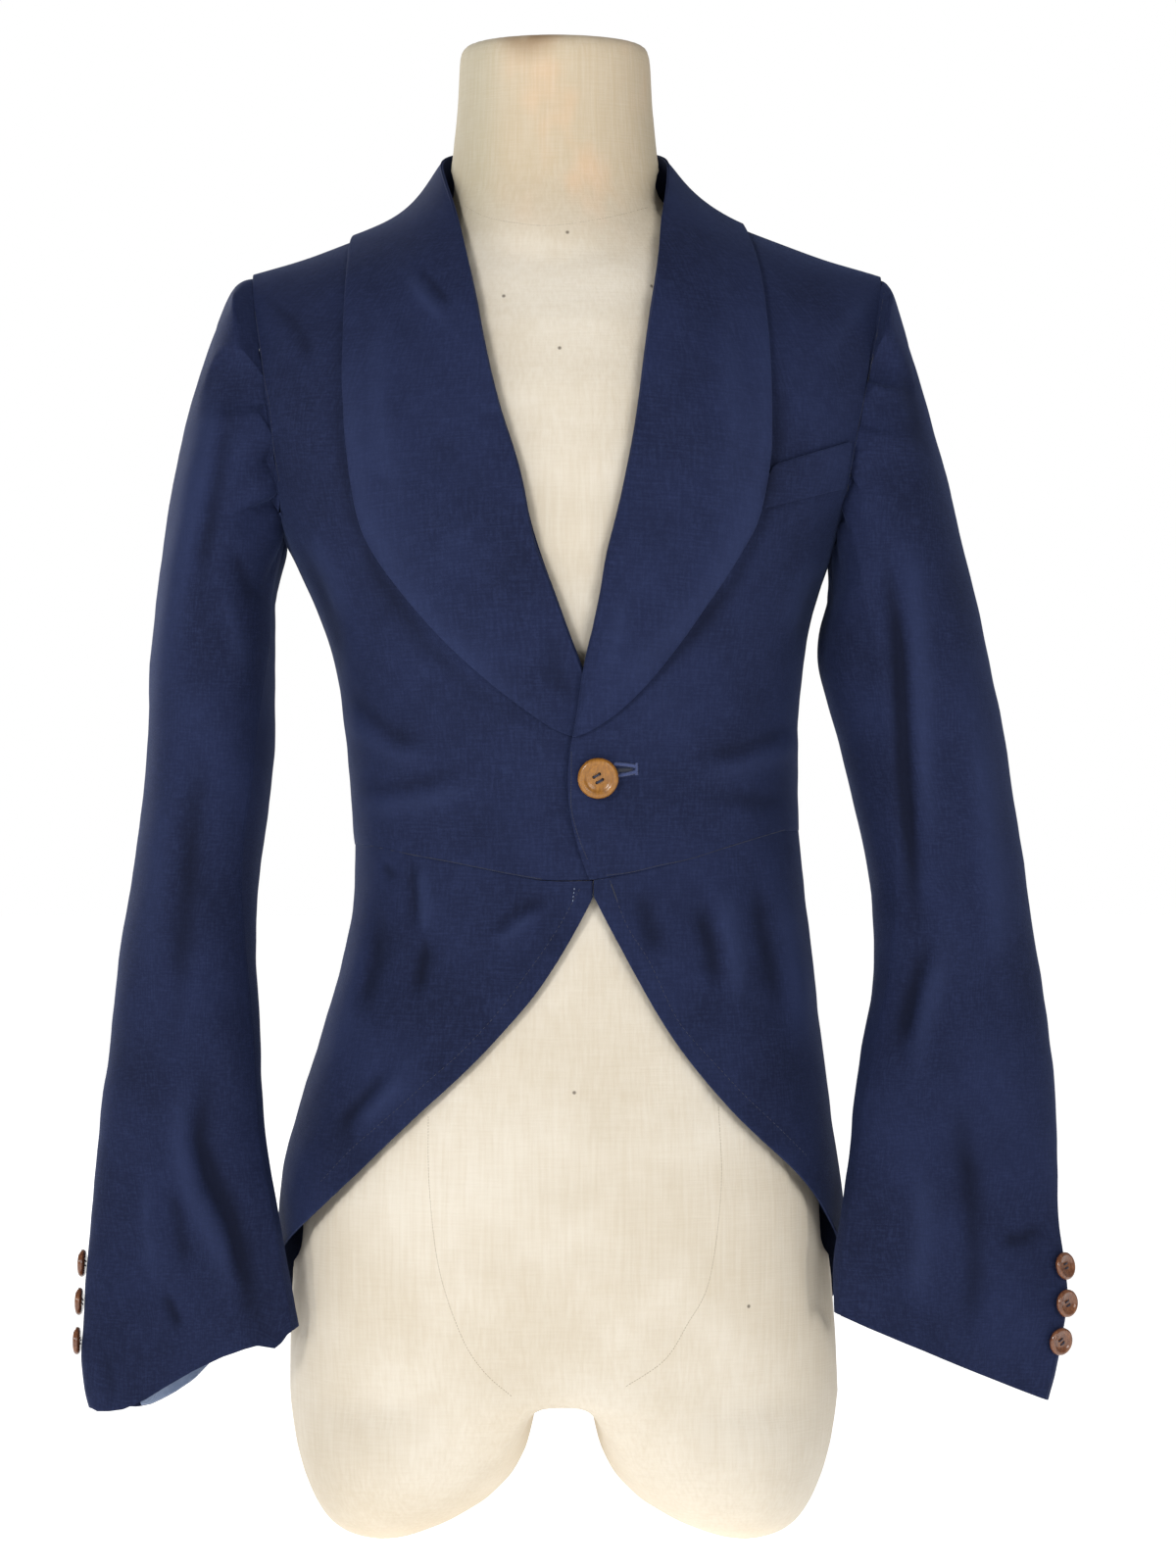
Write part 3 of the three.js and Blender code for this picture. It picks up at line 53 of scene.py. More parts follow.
# The camera stands level in front of the coat. Places on the front are dots of its 1200 x 1600 frame
lookout = {
    "place": (0.00762, -3.00708, 0.4425),
    "dotsPerSlope": 5172.0,
    "middle": (600.0, 800.0),
    "sensor": 36.0,
}
mm = 0.001


def frameDots(points):
    away = points - np.array(lookout["place"])
    across = lookout["middle"][0] + lookout["dotsPerSlope"] * away[:, 0] / away[:, 1]
    down = lookout["middle"][1] - lookout["dotsPerSlope"] * away[:, 2] / away[:, 1]
    return np.stack([across, down], 1)


def rayThrough(dot):
    across = (dot[0] - lookout["middle"][0]) / lookout["dotsPerSlope"]
    up = (lookout["middle"][1] - dot[1]) / lookout["dotsPerSlope"]
    return Vector((across, 1.0, up)).normalized()


def shown(name, data):
    piece = bpy.data.objects.new(name, data)
    bpy.context.scene.collection.objects.link(piece)
    return piece


def makeCamera():
    camera = bpy.data.cameras.new("camera")
    camera.sensor_width = lookout["sensor"]
    camera.lens = lookout["sensor"] * lookout["dotsPerSlope"] / (2 * lookout["middle"][1])
    stand = shown("camera", camera)
    stand.location = lookout["place"]
    stand.rotation_euler = (math.pi / 2, 0, 0)
    bpy.context.scene.camera = stand


# Both forms of an operator: shade + other, and other + shade
def bothWays(operation):
    def plain(self, other):
        return self.math(operation, self, other)

    def reflected(self, other):
        return self.math(operation, other, self)

    return plain, reflected


# Shader maths: a wrapped socket takes +, -, * and /, and adds the Math nodes
class Shade:
    __add__, __radd__ = bothWays("ADD")
    __sub__, __rsub__ = bothWays("SUBTRACT")
    __mul__, __rmul__ = bothWays("MULTIPLY")
    __truediv__, __rtruediv__ = bothWays("DIVIDE")

    def __init__(self, paint, socket):
        self.paint = paint
        self.socket = socket

    def math(self, operation, first, second=0.0):
        return self.paint.add("ShaderNodeMath", {"operation": operation}, {0: first, 1: second})

    def wave(self):
        return self.math("SINE", self)

    def clamped(self):
        return self.math("MINIMUM", self.math("MAXIMUM", self, 0.0), 1.0)

    def between(self, low, high):
        sockets = {"Value": self, "From Min": low, "From Max": high}
        return self.paint.add("ShaderNodeMapRange", {"interpolation_type": "SMOOTHSTEP"}, sockets)


class Paint:
    def __init__(self, name, **shader):
        self.material = bpy.data.materials.new(name)
        self.material.use_nodes = True
        self.tree = self.material.node_tree
        self.tree.nodes.clear()
        self.shader = self.tree.nodes.new("ShaderNodeBsdfPrincipled")
        output = self.tree.nodes.new("ShaderNodeOutputMaterial")
        self.tree.links.new(self.shader.outputs[0], output.inputs[0])
        for key, value in shader.items():
            self.feed(key.replace("_", " "), value)

    def put(self, socket, value):
        if isinstance(value, Shade):
            self.tree.links.new(value.socket, socket)
        else:
            socket.default_value = value

    def feed(self, name, value):
        self.put(self.shader.inputs[name], value)

    def add(self, kind, settings=None, sockets=None, output=0):
        node = self.tree.nodes.new(kind)
        for key, value in (settings or {}).items():
            setattr(node, key, value)
        for key, value in (sockets or {}).items():
            self.put(node.inputs[key], value)
        return Shade(self, node.outputs[output])

    def place(self):
        return self.add("ShaderNodeTexCoord", output=3)

    def attribute(self, name):
        return self.add("ShaderNodeAttribute", {"attribute_name": name}, output=1)

    def part(self, vector, axis):
        return self.add("ShaderNodeSeparateXYZ", None, {0: vector}, output=axis)

    def scaled(self, vector, scale):
        return self.add("ShaderNodeVectorMath", {"operation": "MULTIPLY"}, {0: vector, 1: scale})

    def noise(self, vector, scale, detail=2.0, roughness=0.5):
        sockets = {"Vector": vector, "Scale": scale, "Detail": detail, "Roughness": roughness}
        return self.add("ShaderNodeTexNoise", None, sockets)

    def blend(self, mask, first, second):
        return self.add("ShaderNodeMix", {"data_type": "RGBA"}, {0: mask, 6: first, 7: second}, output=2)

    def nearness(self, vector, spot, reach, core=0.35):
        away = self.add("ShaderNodeVectorMath", {"operation": "DISTANCE"}, {0: vector, 1: spot}, 1)
        return 1 - away.between(reach * core, reach)

    def bump(self, height, strength, distance):
        sockets = {"Height": height, "Strength": strength, "Distance": distance}
        self.feed("Normal", self.add("ShaderNodeBump", None, sockets))


def rgb(red, green, blue):
    return (red, green, blue, 1.0)


# Fine navy weave: threads, slubs along warp and weft, a cloudy darker tone, a bloom on raised thread,
# painted highlight on crease ridges and painted shade in crease troughs. A bump is its strength and height
navy = {
    "shade": rgb(0.0085, 0.0125, 0.038),
    "plain": rgb(0.0135, 0.02, 0.06),
    # The bloom colour serves both the weave's own bloom and the painted highlight on crease ridges; the
    # darkest colour is painted shade in crease troughs
    "bloom": rgb(0.027, 0.0385, 0.1),
    "hollow": rgb(0.003, 0.0045, 0.014),
    "troughShadeShare": 0.80,
    "ridgeHighlightShare": 0.42,
    "threads": 2100.0,
    "slub": (900.0, 90.0, 1.0),
    "crossSlub": (110.0, 820.0, 1.0),
    "cloud": 14.0,
    "grain": 620.0,
    "sheen": {"Sheen_Weight": 0.12, "Sheen_Roughness": 0.42, "Sheen_Tint": rgb(0.3, 0.42, 0.9)},
    "bump": (0.32, 0.0004),
}


def navyPaint():
    paint = Paint("navyCloth", Specular_IOR_Level=0.12, **navy["sheen"])
    cloth = paint.attribute("clothPlace")
    turn = math.tau * navy["threads"]
    warp = (paint.part(cloth, 0) * turn).wave()
    weft = (paint.part(cloth, 1) * turn).wave()
    weave = warp * weft * 0.5 + 0.5
    along = paint.noise(paint.scaled(cloth, navy["slub"]), 1.0, 3.0, 0.6)
    cross = paint.noise(paint.scaled(cloth, navy["crossSlub"]), 1.0, 3.0, 0.6)
    cloud = paint.noise(paint.place(), navy["cloud"], 3.0, 0.55)
    grain = paint.noise(paint.place(), navy["grain"], 2.0, 0.7)
    slub = (along + cross) * 0.5
    tone = paint.blend(cloud.between(0.30, 0.72), navy["shade"], navy["plain"])
    lit = paint.blend((slub - 0.44) * 2.4 + (grain - 0.5) * 0.9, tone, navy["bloom"])
    dull = paint.blend((weave - 0.5) * 0.35 + 0.18, lit, navy["shade"])
    # painted shade in crease troughs and painted highlight on crease ridges, read from the crease heights
    # laid on the cloth
    creaseShading = paint.attribute("clothRelief")
    deep = paint.blend(paint.part(creaseShading, 0) * navy["troughShadeShare"], dull, navy["hollow"])
    paint.feed("Base Color", paint.blend(paint.part(creaseShading, 1) * navy["ridgeHighlightShare"], deep, navy["bloom"]))
    paint.feed("Roughness", (0.74 + 0.2 * slub).clamped())
    paint.bump(weave * 0.4 + slub * 1.4 + grain * 0.5, *navy["bump"])
    return paint.material


# Linen on the form: upright slubs, warmer at the neck, peach blotches, a few dark specks, a worn rim and
# painted shade on the neck's sides
linen = {
    "plain": rgb(0.64, 0.57, 0.46),
    "pale": rgb(0.73, 0.67, 0.57),
    "neck": rgb(0.53, 0.425, 0.285),
    "blotch": rgb(0.64, 0.435, 0.265),
    # the colour of the painted shade on the neck's sides
    "cool": rgb(0.43, 0.39, 0.27),
    "worn": rgb(0.3, 0.19, 0.1),
    "speck": rgb(0.08, 0.06, 0.045),
    "specks": [(579, 237), (514, 302), (571, 355), (665, 292), (586, 1115), (764, 1333)],
    "speckReach": 1.5 * mm,
    "neckHeights": (0.735, 0.800),
    "neckHalfSquared": 0.0032,
    "wornSpot": (-0.024, -0.044, 0.880),
    "wornReach": 0.026,
    "slub": (520.0, 520.0, 22.0),
    "weft": (60.0, 60.0, 900.0),
    "patch": (30.0, 30.0, 18.0),
    "cloud": 9.0,
    "bump": (0.35, 0.0005),
}


def linenPaint(specks):
    paint = Paint("linenCloth", Sheen_Weight=0.08, Specular_IOR_Level=0.15)
    place = paint.place()
    sideways = paint.part(place, 0)
    neck = paint.part(place, 2).between(*linen["neckHeights"])
    slub = paint.noise(paint.scaled(place, linen["slub"]), 1.0, 3.0, 0.65)
    weft = paint.noise(paint.scaled(place, linen["weft"]), 1.0, 2.0, 0.6)
    cloud = paint.noise(place, linen["cloud"], 3.0, 0.6)
    patch = paint.noise(paint.scaled(place, linen["patch"]), 1.0, 2.0, 0.6)
    body = paint.blend(cloud.between(0.35, 0.68), linen["plain"], linen["pale"])
    edge = sideways * sideways / linen["neckHalfSquared"]
    blotch = patch.between(0.45, 0.70) * (1 - edge.clamped())
    warm = paint.blend(blotch, linen["neck"], linen["blotch"])
    # painted shade: the neck is darker towards its sides
    side = paint.blend(edge.between(0.30, 1.0) * 0.80, warm, linen["cool"])
    colour = paint.blend(neck * 0.8, body, side)
    streak = (slub - 0.5) * 0.55 + (weft - 0.5) * 0.25
    colour = paint.blend((streak + 0.10).clamped(), colour, linen["neck"])
    colour = paint.blend((0.06 - streak).clamped(), colour, linen["pale"])
    for spot in specks:
        near = paint.nearness(place, spot, linen["speckReach"])
        colour = paint.blend(near * 0.75, colour, linen["speck"])
    rim = paint.nearness(place, linen["wornSpot"], linen["wornReach"]) * patch.between(0.30, 0.5)
    paint.feed("Base Color", paint.blend(rim * 0.85, colour, linen["worn"]))
    paint.feed("Roughness", (0.82 + 0.16 * slub).clamped())
    paint.bump(slub * 1.2 + weft * 0.8, *linen["bump"])
    return paint.material


# Horn front button and the redder cuff buttons, streaked and polished. Tones are plain, light and dark
horn = {
    "hornButton": {
        "tones": [rgb(0.235, 0.092, 0.007), rgb(0.35, 0.142, 0.011), rgb(0.14, 0.05, 0.006)],
        "roughness": 0.36,
        "coat": 0.25,
    },
    "cuffButton": {
        "tones": [rgb(0.12, 0.038, 0.014), rgb(0.23, 0.085, 0.03), rgb(0.05, 0.016, 0.008)],
        "roughness": 0.26,
        "coat": 0.6,
    },
}


def hornPaint(name):
    plain, light, dark = horn[name]["tones"]
    paint = Paint(name, Coat_Weight=horn[name]["coat"], Coat_Roughness=0.08)
    place = paint.place()
    streak = paint.noise(paint.scaled(place, (900.0, 900.0, 220.0)), 1.0, 4.0, 0.6)
    cloud = paint.noise(place, 150.0, 3.0, 0.5)
    colour = paint.blend(streak.between(0.35, 0.70), plain, light)
    paint.feed("Base Color", paint.blend(cloud.between(0.52, 0.75) * 0.6, colour, dark))
    paint.feed("Roughness", (horn[name]["roughness"] + (streak - 0.5) * 0.2).clamped())
    paint.bump(streak, 0.12, 0.0002)
    return paint.material


# Threads: plain colour and the colour of the highlights in the twist
threadTones = {
    "navy": (rgb(0.006, 0.008, 0.022), rgb(0.016, 0.022, 0.055)),
    "dark": (rgb(0.006, 0.008, 0.018), rgb(0.014, 0.018, 0.038)),
    "light": (rgb(0.16, 0.2, 0.3), rgb(0.26, 0.31, 0.42)),
    "blue": (rgb(0.022, 0.036, 0.12), rgb(0.052, 0.078, 0.21)),
    "linen": (rgb(0.27, 0.215, 0.14), rgb(0.38, 0.31, 0.21)),
}


def threadPaint(name):
    paint = Paint(name + "Thread", Roughness=0.7, Sheen_Weight=0.2)
    place = paint.place()
    twist = paint.noise(paint.scaled(place, (2400.0, 2400.0, 1500.0)), 1.0, 2.0, 0.5)
    paint.feed("Base Color", paint.blend(twist, *threadTones[name]))
    paint.bump(twist, 0.4, 0.0002)
    return paint.material


# Pale blue twill inside the cuff
facing = {
    "plain": rgb(0.185, 0.245, 0.385),
    "pale": rgb(0.27, 0.34, 0.49),
    "groove": rgb(0.12, 0.165, 0.3),
    "twill": 900.0,
    "cloud": 90.0,
}


def facingPaint():
    paint = Paint("paleFacing", Roughness=0.72, Sheen_Weight=0.1)
    cloth = paint.attribute("clothPlace")
    slant = (paint.part(cloth, 0) + paint.part(cloth, 1)) * (math.tau * facing["twill"])
    twill = slant.wave() * 0.5 + 0.5
    cloud = paint.noise(paint.place(), facing["cloud"], 3.0, 0.6)
    pale = paint.blend(cloud.between(0.35, 0.65), facing["plain"], facing["pale"])
    paint.feed("Base Color", paint.blend(twill * 0.3, pale, facing["groove"]))
    paint.bump(twill, 0.3, 0.0003)
    return paint.material


# Sewn edges reach out by a little, so that neighbours meet as they do along a pressed seam
seam = {"reach": 0.30 * mm, "wall": 1.95 * mm}

# A solid becomes the cage of a smooth cloth: its triangles are joined in pairs and its rims stay crisp
cage = {"merge": 0.01 * mm, "flat": math.radians(50), "square": math.radians(70), "levels": 3}
cage |= {"sharp": 1.15, "crease": 0.75}


def closeSeams(shape, crease):
    ways = {}
    for face in shape.faces:
        sharp = sum(edge[crease] > 0 for edge in face.edges)
        if sharp >= 2 and min(edge.calc_length() for edge in face.edges) < seam["wall"]:
            for corner in face.verts:
                ways.setdefault(corner, []).append(face.normal.copy())
    for corner, normals in ways.items():
        corner.co += sum(normals, Vector()).normalized() * seam["reach"]


def freshMesh(node, joined=True):
    source = nodes[node].data
    mesh = bpy.data.meshes.new(node + "Copy")
    mesh.from_pydata(pointsOf(source).tolist(), [], [list(face.vertices) for face in source.polygons])
    shape = bmesh.new()
    shape.from_mesh(mesh)
    bmesh.ops.remove_doubles(shape, verts=shape.verts, dist=cage["merge"])
    if joined:
        limits = {"angle_face_threshold": cage["flat"], "angle_shape_threshold": cage["square"]}
        bmesh.ops.join_triangles(shape, faces=shape.faces, **limits)
        crease = shape.edges.layers.float.new("crease_edge")
        for edge in shape.edges:
            if len(edge.link_faces) == 2 and edge.calc_face_angle() > cage["sharp"]:
                edge[crease] = cage["crease"]
        closeSeams(shape, crease)
    shape.to_mesh(mesh)
    shape.free()
    return mesh


def baked(piece):
    # the mesh with its modifiers applied takes the place of the plain one
    graph = bpy.context.evaluated_depsgraph_get()
    mesh = bpy.data.meshes.new_from_object(piece.evaluated_get(graph))
    piece.modifiers.clear()
    piece.data = mesh
    return mesh


def readArray(items, name, width, kind):
    values = np.zeros(len(items) * width, kind)
    items.foreach_get(name, values)
    return values.reshape(-1, width)


def pointsOf(mesh):
    return readArray(mesh.vertices, "co", 3, np.float32).astype(float)


def setPoints(mesh, points):
    mesh.vertices.foreach_set("co", points.astype(np.float32).ravel())
    mesh.update()


def ease(low, high, value):
    t = np.clip((value - low) / (high - low), 0, 1)
    return t * t * (3 - 2 * t)


# How creases stand out: factors for ridges and troughs, the height in mm that is fully shaded, the taper at
# the ends, the fading where the cloth turns away, and the ripples' share of the shade
relief = {"ridge": 2.3, "trough": 2.0, "full": 2.1, "taper": 3.2, "end": 0.12, "turn": 2.2, "ripple": 0.4}


# A crease is its width in dots, its height in mm, below nought for a trough, and its line of frame dots
def creaseHeight(dots, crease):
    width, height, line = crease
    height *= relief["ridge"] if height > 0 else relief["trough"]
    line = np.array(line, float)
    lengths = np.hypot(*np.diff(line, axis=0).T)
    along = np.concatenate([[0], np.cumsum(lengths)])
    best = np.full(len(dots), 1e9)
    share = np.zeros(len(dots))
    for i, length in enumerate(lengths):
        step = (line[i + 1] - line[i]) / length
        off = dots - line[i]
        t = np.clip(off @ step, 0, length)
        gap = np.hypot(*(off - t[:, None] * step).T)
        near = gap < best
        best[near] = gap[near]
        share[near] = ((along[i] + t) / along[-1])[near]
    ends = np.clip(np.minimum(share, 1 - share) * relief["taper"] + relief["end"], 0, 1)
    spread = np.exp(-((best / width) ** 2)) * ends
    return height * mm * spread


# Creases that the front shows, by the piece they lie on
frontCreases = {}
frontCreases["body"] = [
    (7, -1.0, [(421, 877), (423, 912), (424, 947)]),
    (8, 1.1, [(430, 880), (433, 915), (434, 950)]),
    (7, -0.9, [(435, 956), (430, 988), (424, 1018)]),
    (9, -0.8, [(559, 915), (532, 930), (503, 953)]),
    (9, 0.9, [(556, 925), (530, 942), (506, 962)]),
    (5, -0.7, [(391, 880), (397, 891), (403, 897)]),
    (9, -0.9, [(403, 1085), (378, 1115), (353, 1141), (350, 1167)]),
    (10, 1.0, [(412, 1094), (388, 1124), (364, 1150)]),
    (12, -1.0, [(717, 918), (722, 944), (729, 971), (735, 1010)]),
    (13, 1.2, [(736, 905), (742, 945), (750, 985), (756, 1030)]),
    (10, -0.9, [(770, 890), (777, 940), (788, 990), (800, 1040)]),
    (12, 1.0, [(800, 900), (806, 950), (815, 1005), (824, 1060)]),
    (14, 1.1, [(370, 930), (362, 985), (348, 1040), (330, 1095)]),
    (11, -0.9, [(388, 930), (380, 985), (366, 1040)]),
    (12, -0.8, [(655, 905), (662, 940), (672, 975)]),
    (10, -0.8, [(352, 700), (372, 730), (400, 752), (436, 764)]),
    (11, 0.9, [(350, 716), (372, 745), (402, 766), (440, 778)]),
    (10, -0.7, [(356, 800), (390, 806), (430, 800), (470, 786)]),
    (12, 0.8, [(360, 818), (400, 822), (444, 814), (486, 800)]),
    (9, -0.7, [(818, 735), (786, 756), (748, 768), (712, 772)]),
    (11, 0.8, [(818, 752), (788, 771), (752, 783), (716, 787)]),
    (10, -0.6, [(815, 812), (776, 818), (738, 814), (704, 806)]),
    (9, -0.8, [(300, 548), (322, 590), (340, 640), (348, 690)]),
    (10, 0.8, [(314, 540), (338, 585), (356, 634)]),
    (9, -0.7, [(846, 575), (826, 618), (814, 664)]),
    (10, 0.7, [(832, 560), (812, 604), (800, 650)]),
    (8, -0.6, [(270, 300), (300, 330), (322, 372)]),
    (9, 0.6, [(890, 300), (862, 330), (838, 368)]),
    (9, -0.5, [(352, 300), (343, 380), (346, 450), (358, 522), (388, 594), (434, 656), (494, 711),
               (570, 756)]),
    (9, -0.5, [(788, 290), (797, 380), (795, 452), (781, 524), (750, 596), (708, 648), (657, 700),
               (604, 740)]),
]
frontCreases["lapel"] = [
    (5, -0.9, [(425, 270), (442, 291), (460, 313)]),
    (7, 1.0, [(416, 280), (434, 302), (452, 326)]),
    (12, 0.6, [(392, 300), (386, 380), (392, 460), (414, 540)]),
    (14, 0.6, [(735, 300), (748, 380), (752, 450), (738, 520)]),
    (10, -0.4, [(560, 640), (566, 680), (582, 720)]),
    (9, 0.5, [(640, 600), (630, 650), (612, 700)]),
    (20, 0.9, [(362, 300), (353, 380), (356, 450), (368, 520), (398, 590), (442, 650), (500, 702),
               (574, 746)]),
    (20, 0.9, [(778, 290), (786, 380), (784, 450), (770, 520), (740, 590), (700, 640), (650, 692),
               (598, 732)]),
]
frontCreases["rightSleeve"] = [
    (16, 1.3, [(220, 374), (208, 453), (193, 522), (179, 594), (167, 666), (160, 718)]),
    (10, -0.9, [(234, 400), (224, 470), (212, 540), (198, 610)]),
    (12, -1.3, [(211, 1090), (203, 1163), (215, 1201), (236, 1242), (258, 1328), (273, 1357)]),
    (13, 1.2, [(190, 1100), (184, 1160), (196, 1215), (222, 1270), (240, 1330)]),
    (6, -0.9, [(168, 1318), (174, 1334), (184, 1356)]),
    (8, -0.7, [(176, 1204), (184, 1250), (190, 1300)]),
    (7, 0.6, [(150, 1190), (152, 1250), (160, 1310)]),
    (6, -0.6, [(104, 1372), (110, 1396), (114, 1420)]),
    (9, -0.8, [(236, 560), (250, 590), (262, 622)]),
    (10, 0.8, [(226, 600), (240, 640), (250, 684)]),
    (12, -0.7, [(205, 760), (196, 860), (186, 960), (178, 1060)]),
    (15, 0.8, [(170, 780), (160, 880), (148, 990)]),
]
frontCreases["leftSleeve"] = [
    (9, -1.5, [(904, 560), (912, 620), (918, 666), (923, 800), (929, 880), (935, 953)]),
    (11, 1.1, [(930, 560), (938, 640), (942, 760), (948, 860)]),
    (10, -1.1, [(950, 956), (936, 994), (926, 1029), (916, 1077)]),
    (12, 1.0, [(966, 960), (952, 1005), (942, 1050), (934, 1100)]),
    (9, -0.8, [(920, 330), (930, 400), (944, 470)]),
    (13, 0.9, [(990, 700), (1004, 800), (1014, 900), (1020, 1000)]),
    (12, -0.8, [(976, 1120), (990, 1200), (996, 1290), (990, 1370)]),
    (13, 0.8, [(940, 1180), (944, 1260), (936, 1340)]),
    (8, -0.8, [(1068, 1250), (1048, 1262), (1020, 1268)]),
]

# Hidden sides carry creases of the same kinds, seen through from the front
backCreases = {}
backCreases["body"] = [
    (14, -1.0, [(430, 330), (470, 420), (490, 520), (500, 640)]),
    (14, -1.0, [(770, 330), (732, 420), (712, 520), (700, 640)]),
    (13, 0.9, [(380, 420), (400, 520), (424, 620)]),
    (13, 0.9, [(822, 420), (804, 520), (780, 620)]),
    (10, -0.9, [(400, 770), (460, 792), (530, 800), (590, 796)]),
    (12, 1.0, [(404, 790), (464, 812), (530, 820), (588, 815)]),
    (10, -0.8, [(800, 775), (748, 796), (690, 803), (620, 797)]),
    (12, 0.9, [(800, 794), (748, 815), (690, 822), (624, 816)]),
    (13, 1.2, [(520, 920), (512, 1020), (500, 1120), (486, 1220)]),
    (11, -1.1, [(548, 920), (544, 1020), (536, 1130)]),
    (13, 1.2, [(690, 920), (700, 1020), (712, 1130), (724, 1230)]),
    (11, -1.1, [(660, 920), (664, 1030), (672, 1140)]),
    (14, 1.0, [(430, 930), (412, 1040), (392, 1150)]),
    (14, 1.0, [(784, 930), (800, 1040), (816, 1150)]),
    (12, -0.9, [(404, 900), (388, 990), (366, 1090)]),
    (12, -0.9, [(746, 900), (756, 1000), (768, 1100)]),
    (9, -0.7, [(330, 320), (352, 380), (366, 450)]),
    (9, -0.7, [(868, 320), (848, 380), (836, 450)]),
]
backCreases["rightSleeve"] = [
    (10, -1.2, [(150, 800), (190, 822), (238, 828)]),
    (12, 1.2, [(148, 824), (188, 848), (236, 856)]),
    (10, -1.0, [(146, 880), (184, 900), (230, 902)]),
    (12, 0.9, [(200, 420), (188, 520), (176, 620)]),
    (12, -1.0, [(130, 1060), (128, 1160), (140, 1260)]),
]
backCreases["leftSleeve"] = [
    (10, -1.2, [(1040, 820), (1000, 838), (952, 838)]),
    (12, 1.2, [(1044, 845), (1002, 864), (954, 866)]),
    (10, -1.0, [(1048, 900), (1008, 915), (962, 915)]),
    (12, 0.9, [(958, 420), (974, 520), (988, 620)]),
    (12, -1.0, [(1050, 1080), (1046, 1180), (1034, 1270)]),
]


# Soft unevenness of hung cloth, as waves along and across it: share of 1 mm, waves a metre, start
ripples = [
    (0.34, (11.0, 3.0, 6.0), 0.3),
    (0.22, (5.0, 9.0, -13.0), 1.7),
    (0.16, (23.0, 6.0, 17.0), 2.9),
    (0.10, (-31.0, 14.0, 27.0), 0.8),
    (0.06, (47.0, -21.0, 52.0), 4.2),
]


def rippleHeight(points):
    total = np.zeros(len(points))
    for share, waves, start in ripples:
        total += share * np.sin(math.tau * (points @ np.array(waves)) + start)
    return total * mm


bodyAxis = {"x": -0.004, "y": 0.0, "wide": 0.17, "deep": 0.115}


def levelWays(x, y):
    length = np.hypot(x, y) + 1e-9
    return np.stack([x / length, y / length, np.zeros(len(x))], 1)


def bodyOutward(points):
    x = (points[:, 0] - bodyAxis["x"]) / bodyAxis["wide"] ** 2
    y = (points[:, 1] - bodyAxis["y"]) / bodyAxis["deep"] ** 2
    return levelWays(x, y)


def sleevePoints(side):
    return np.concatenate([pointsOf(nodes[f"{kind}_sleeve_{side}"].data) for kind in ("upper", "under")])


# A sleeve's middle line, found in slices of its height
slices = {"inset": 0.03, "step": 0.02, "half": 0.045}


class SleeveAxis:
    def __init__(self, side):
        points = sleevePoints(side)
        level = points[:, 2]
        low, high = level.min() + slices["inset"], level.max() - slices["inset"]
        self.heights = np.arange(low, high, slices["step"])
        near = [points[np.abs(level - z) < slices["half"]] for z in self.heights]
        self.x = [(part[:, 0].min() + part[:, 0].max()) / 2 for part in near]
        self.y = [(part[:, 1].min() + part[:, 1].max()) / 2 for part in near]

    def outward(self, points):
        x = points[:, 0] - np.interp(points[:, 2], self.heights, self.x)
        y = points[:, 1] - np.interp(points[:, 2], self.heights, self.y)
        return levelWays(x, y)


sleeveAxes = {side: SleeveAxis(side) for side in ("left", "right")}


def clothHeight(points, outward, where, isShawl):
    dots = frameDots(points)
    ahead = np.clip(-outward[:, 1] * relief["turn"], 0, 1)
    behind = np.clip(outward[:, 1] * relief["turn"], 0, 1)
    tables = [(frontCreases[where], ahead), (backCreases[where], behind)]
    if isShawl:
        tables.append((frontCreases["lapel"], ahead))
    height = rippleHeight(points)
    for creases, share in tables:
        for crease in creases:
            height += creaseHeight(dots, crease) * share
    return height


# How far the right cuff hangs below a straight hem, in dots: its near side and its far side
cuff = {
    "hem": [(91, 1433), (305, 1352)],
    "near": [(91, 0), (100, 8), (112, 12), (126, 15), (149, 13), (170, 8), (197, 3), (226, 0), (248, 1),
             (263, 3), (272, 8), (281, 13), (288, 10), (294, 4), (310, 0)],
    "far": [(100, 8), (120, 14), (140, 22), (155, 25), (168, 24), (180, 22), (198, 17), (208, 10),
            (218, 3), (240, 0)],
    "fade": (-62, -4),
    "turn": 0.25,
    "dot": 0.58 * mm,
}


def cuffDrop(dots, outward):
    (left, top), (right, low) = cuff["hem"]
    straight = top + (dots[:, 0] - left) * (low - top) / (right - left)
    close = ease(*cuff["fade"], dots[:, 1] - straight)
    near = np.interp(dots[:, 0], *np.array(cuff["near"], float).T)
    far = np.interp(dots[:, 0], *np.array(cuff["far"], float).T)
    front = ease(-cuff["turn"], cuff["turn"], -outward[:, 1])
    return (near * front + far * (1 - front)) * close * cuff["dot"]


# Heights between which creases calm down upwards, by what share, and the radius of the weave's own place
hang = {
    "body": {"calm": (0.70, 0.78), "share": 0.8, "radius": 0.145},
    "sleeve": {"calm": (0.66, 0.72), "share": 1.0, "radius": 0.062},
}


def writeVectors(mesh, name, vectors):
    attribute = mesh.attributes.new(name, "FLOAT_VECTOR", "POINT")
    attribute.data.foreach_set("vector", np.array(vectors, np.float32).ravel())


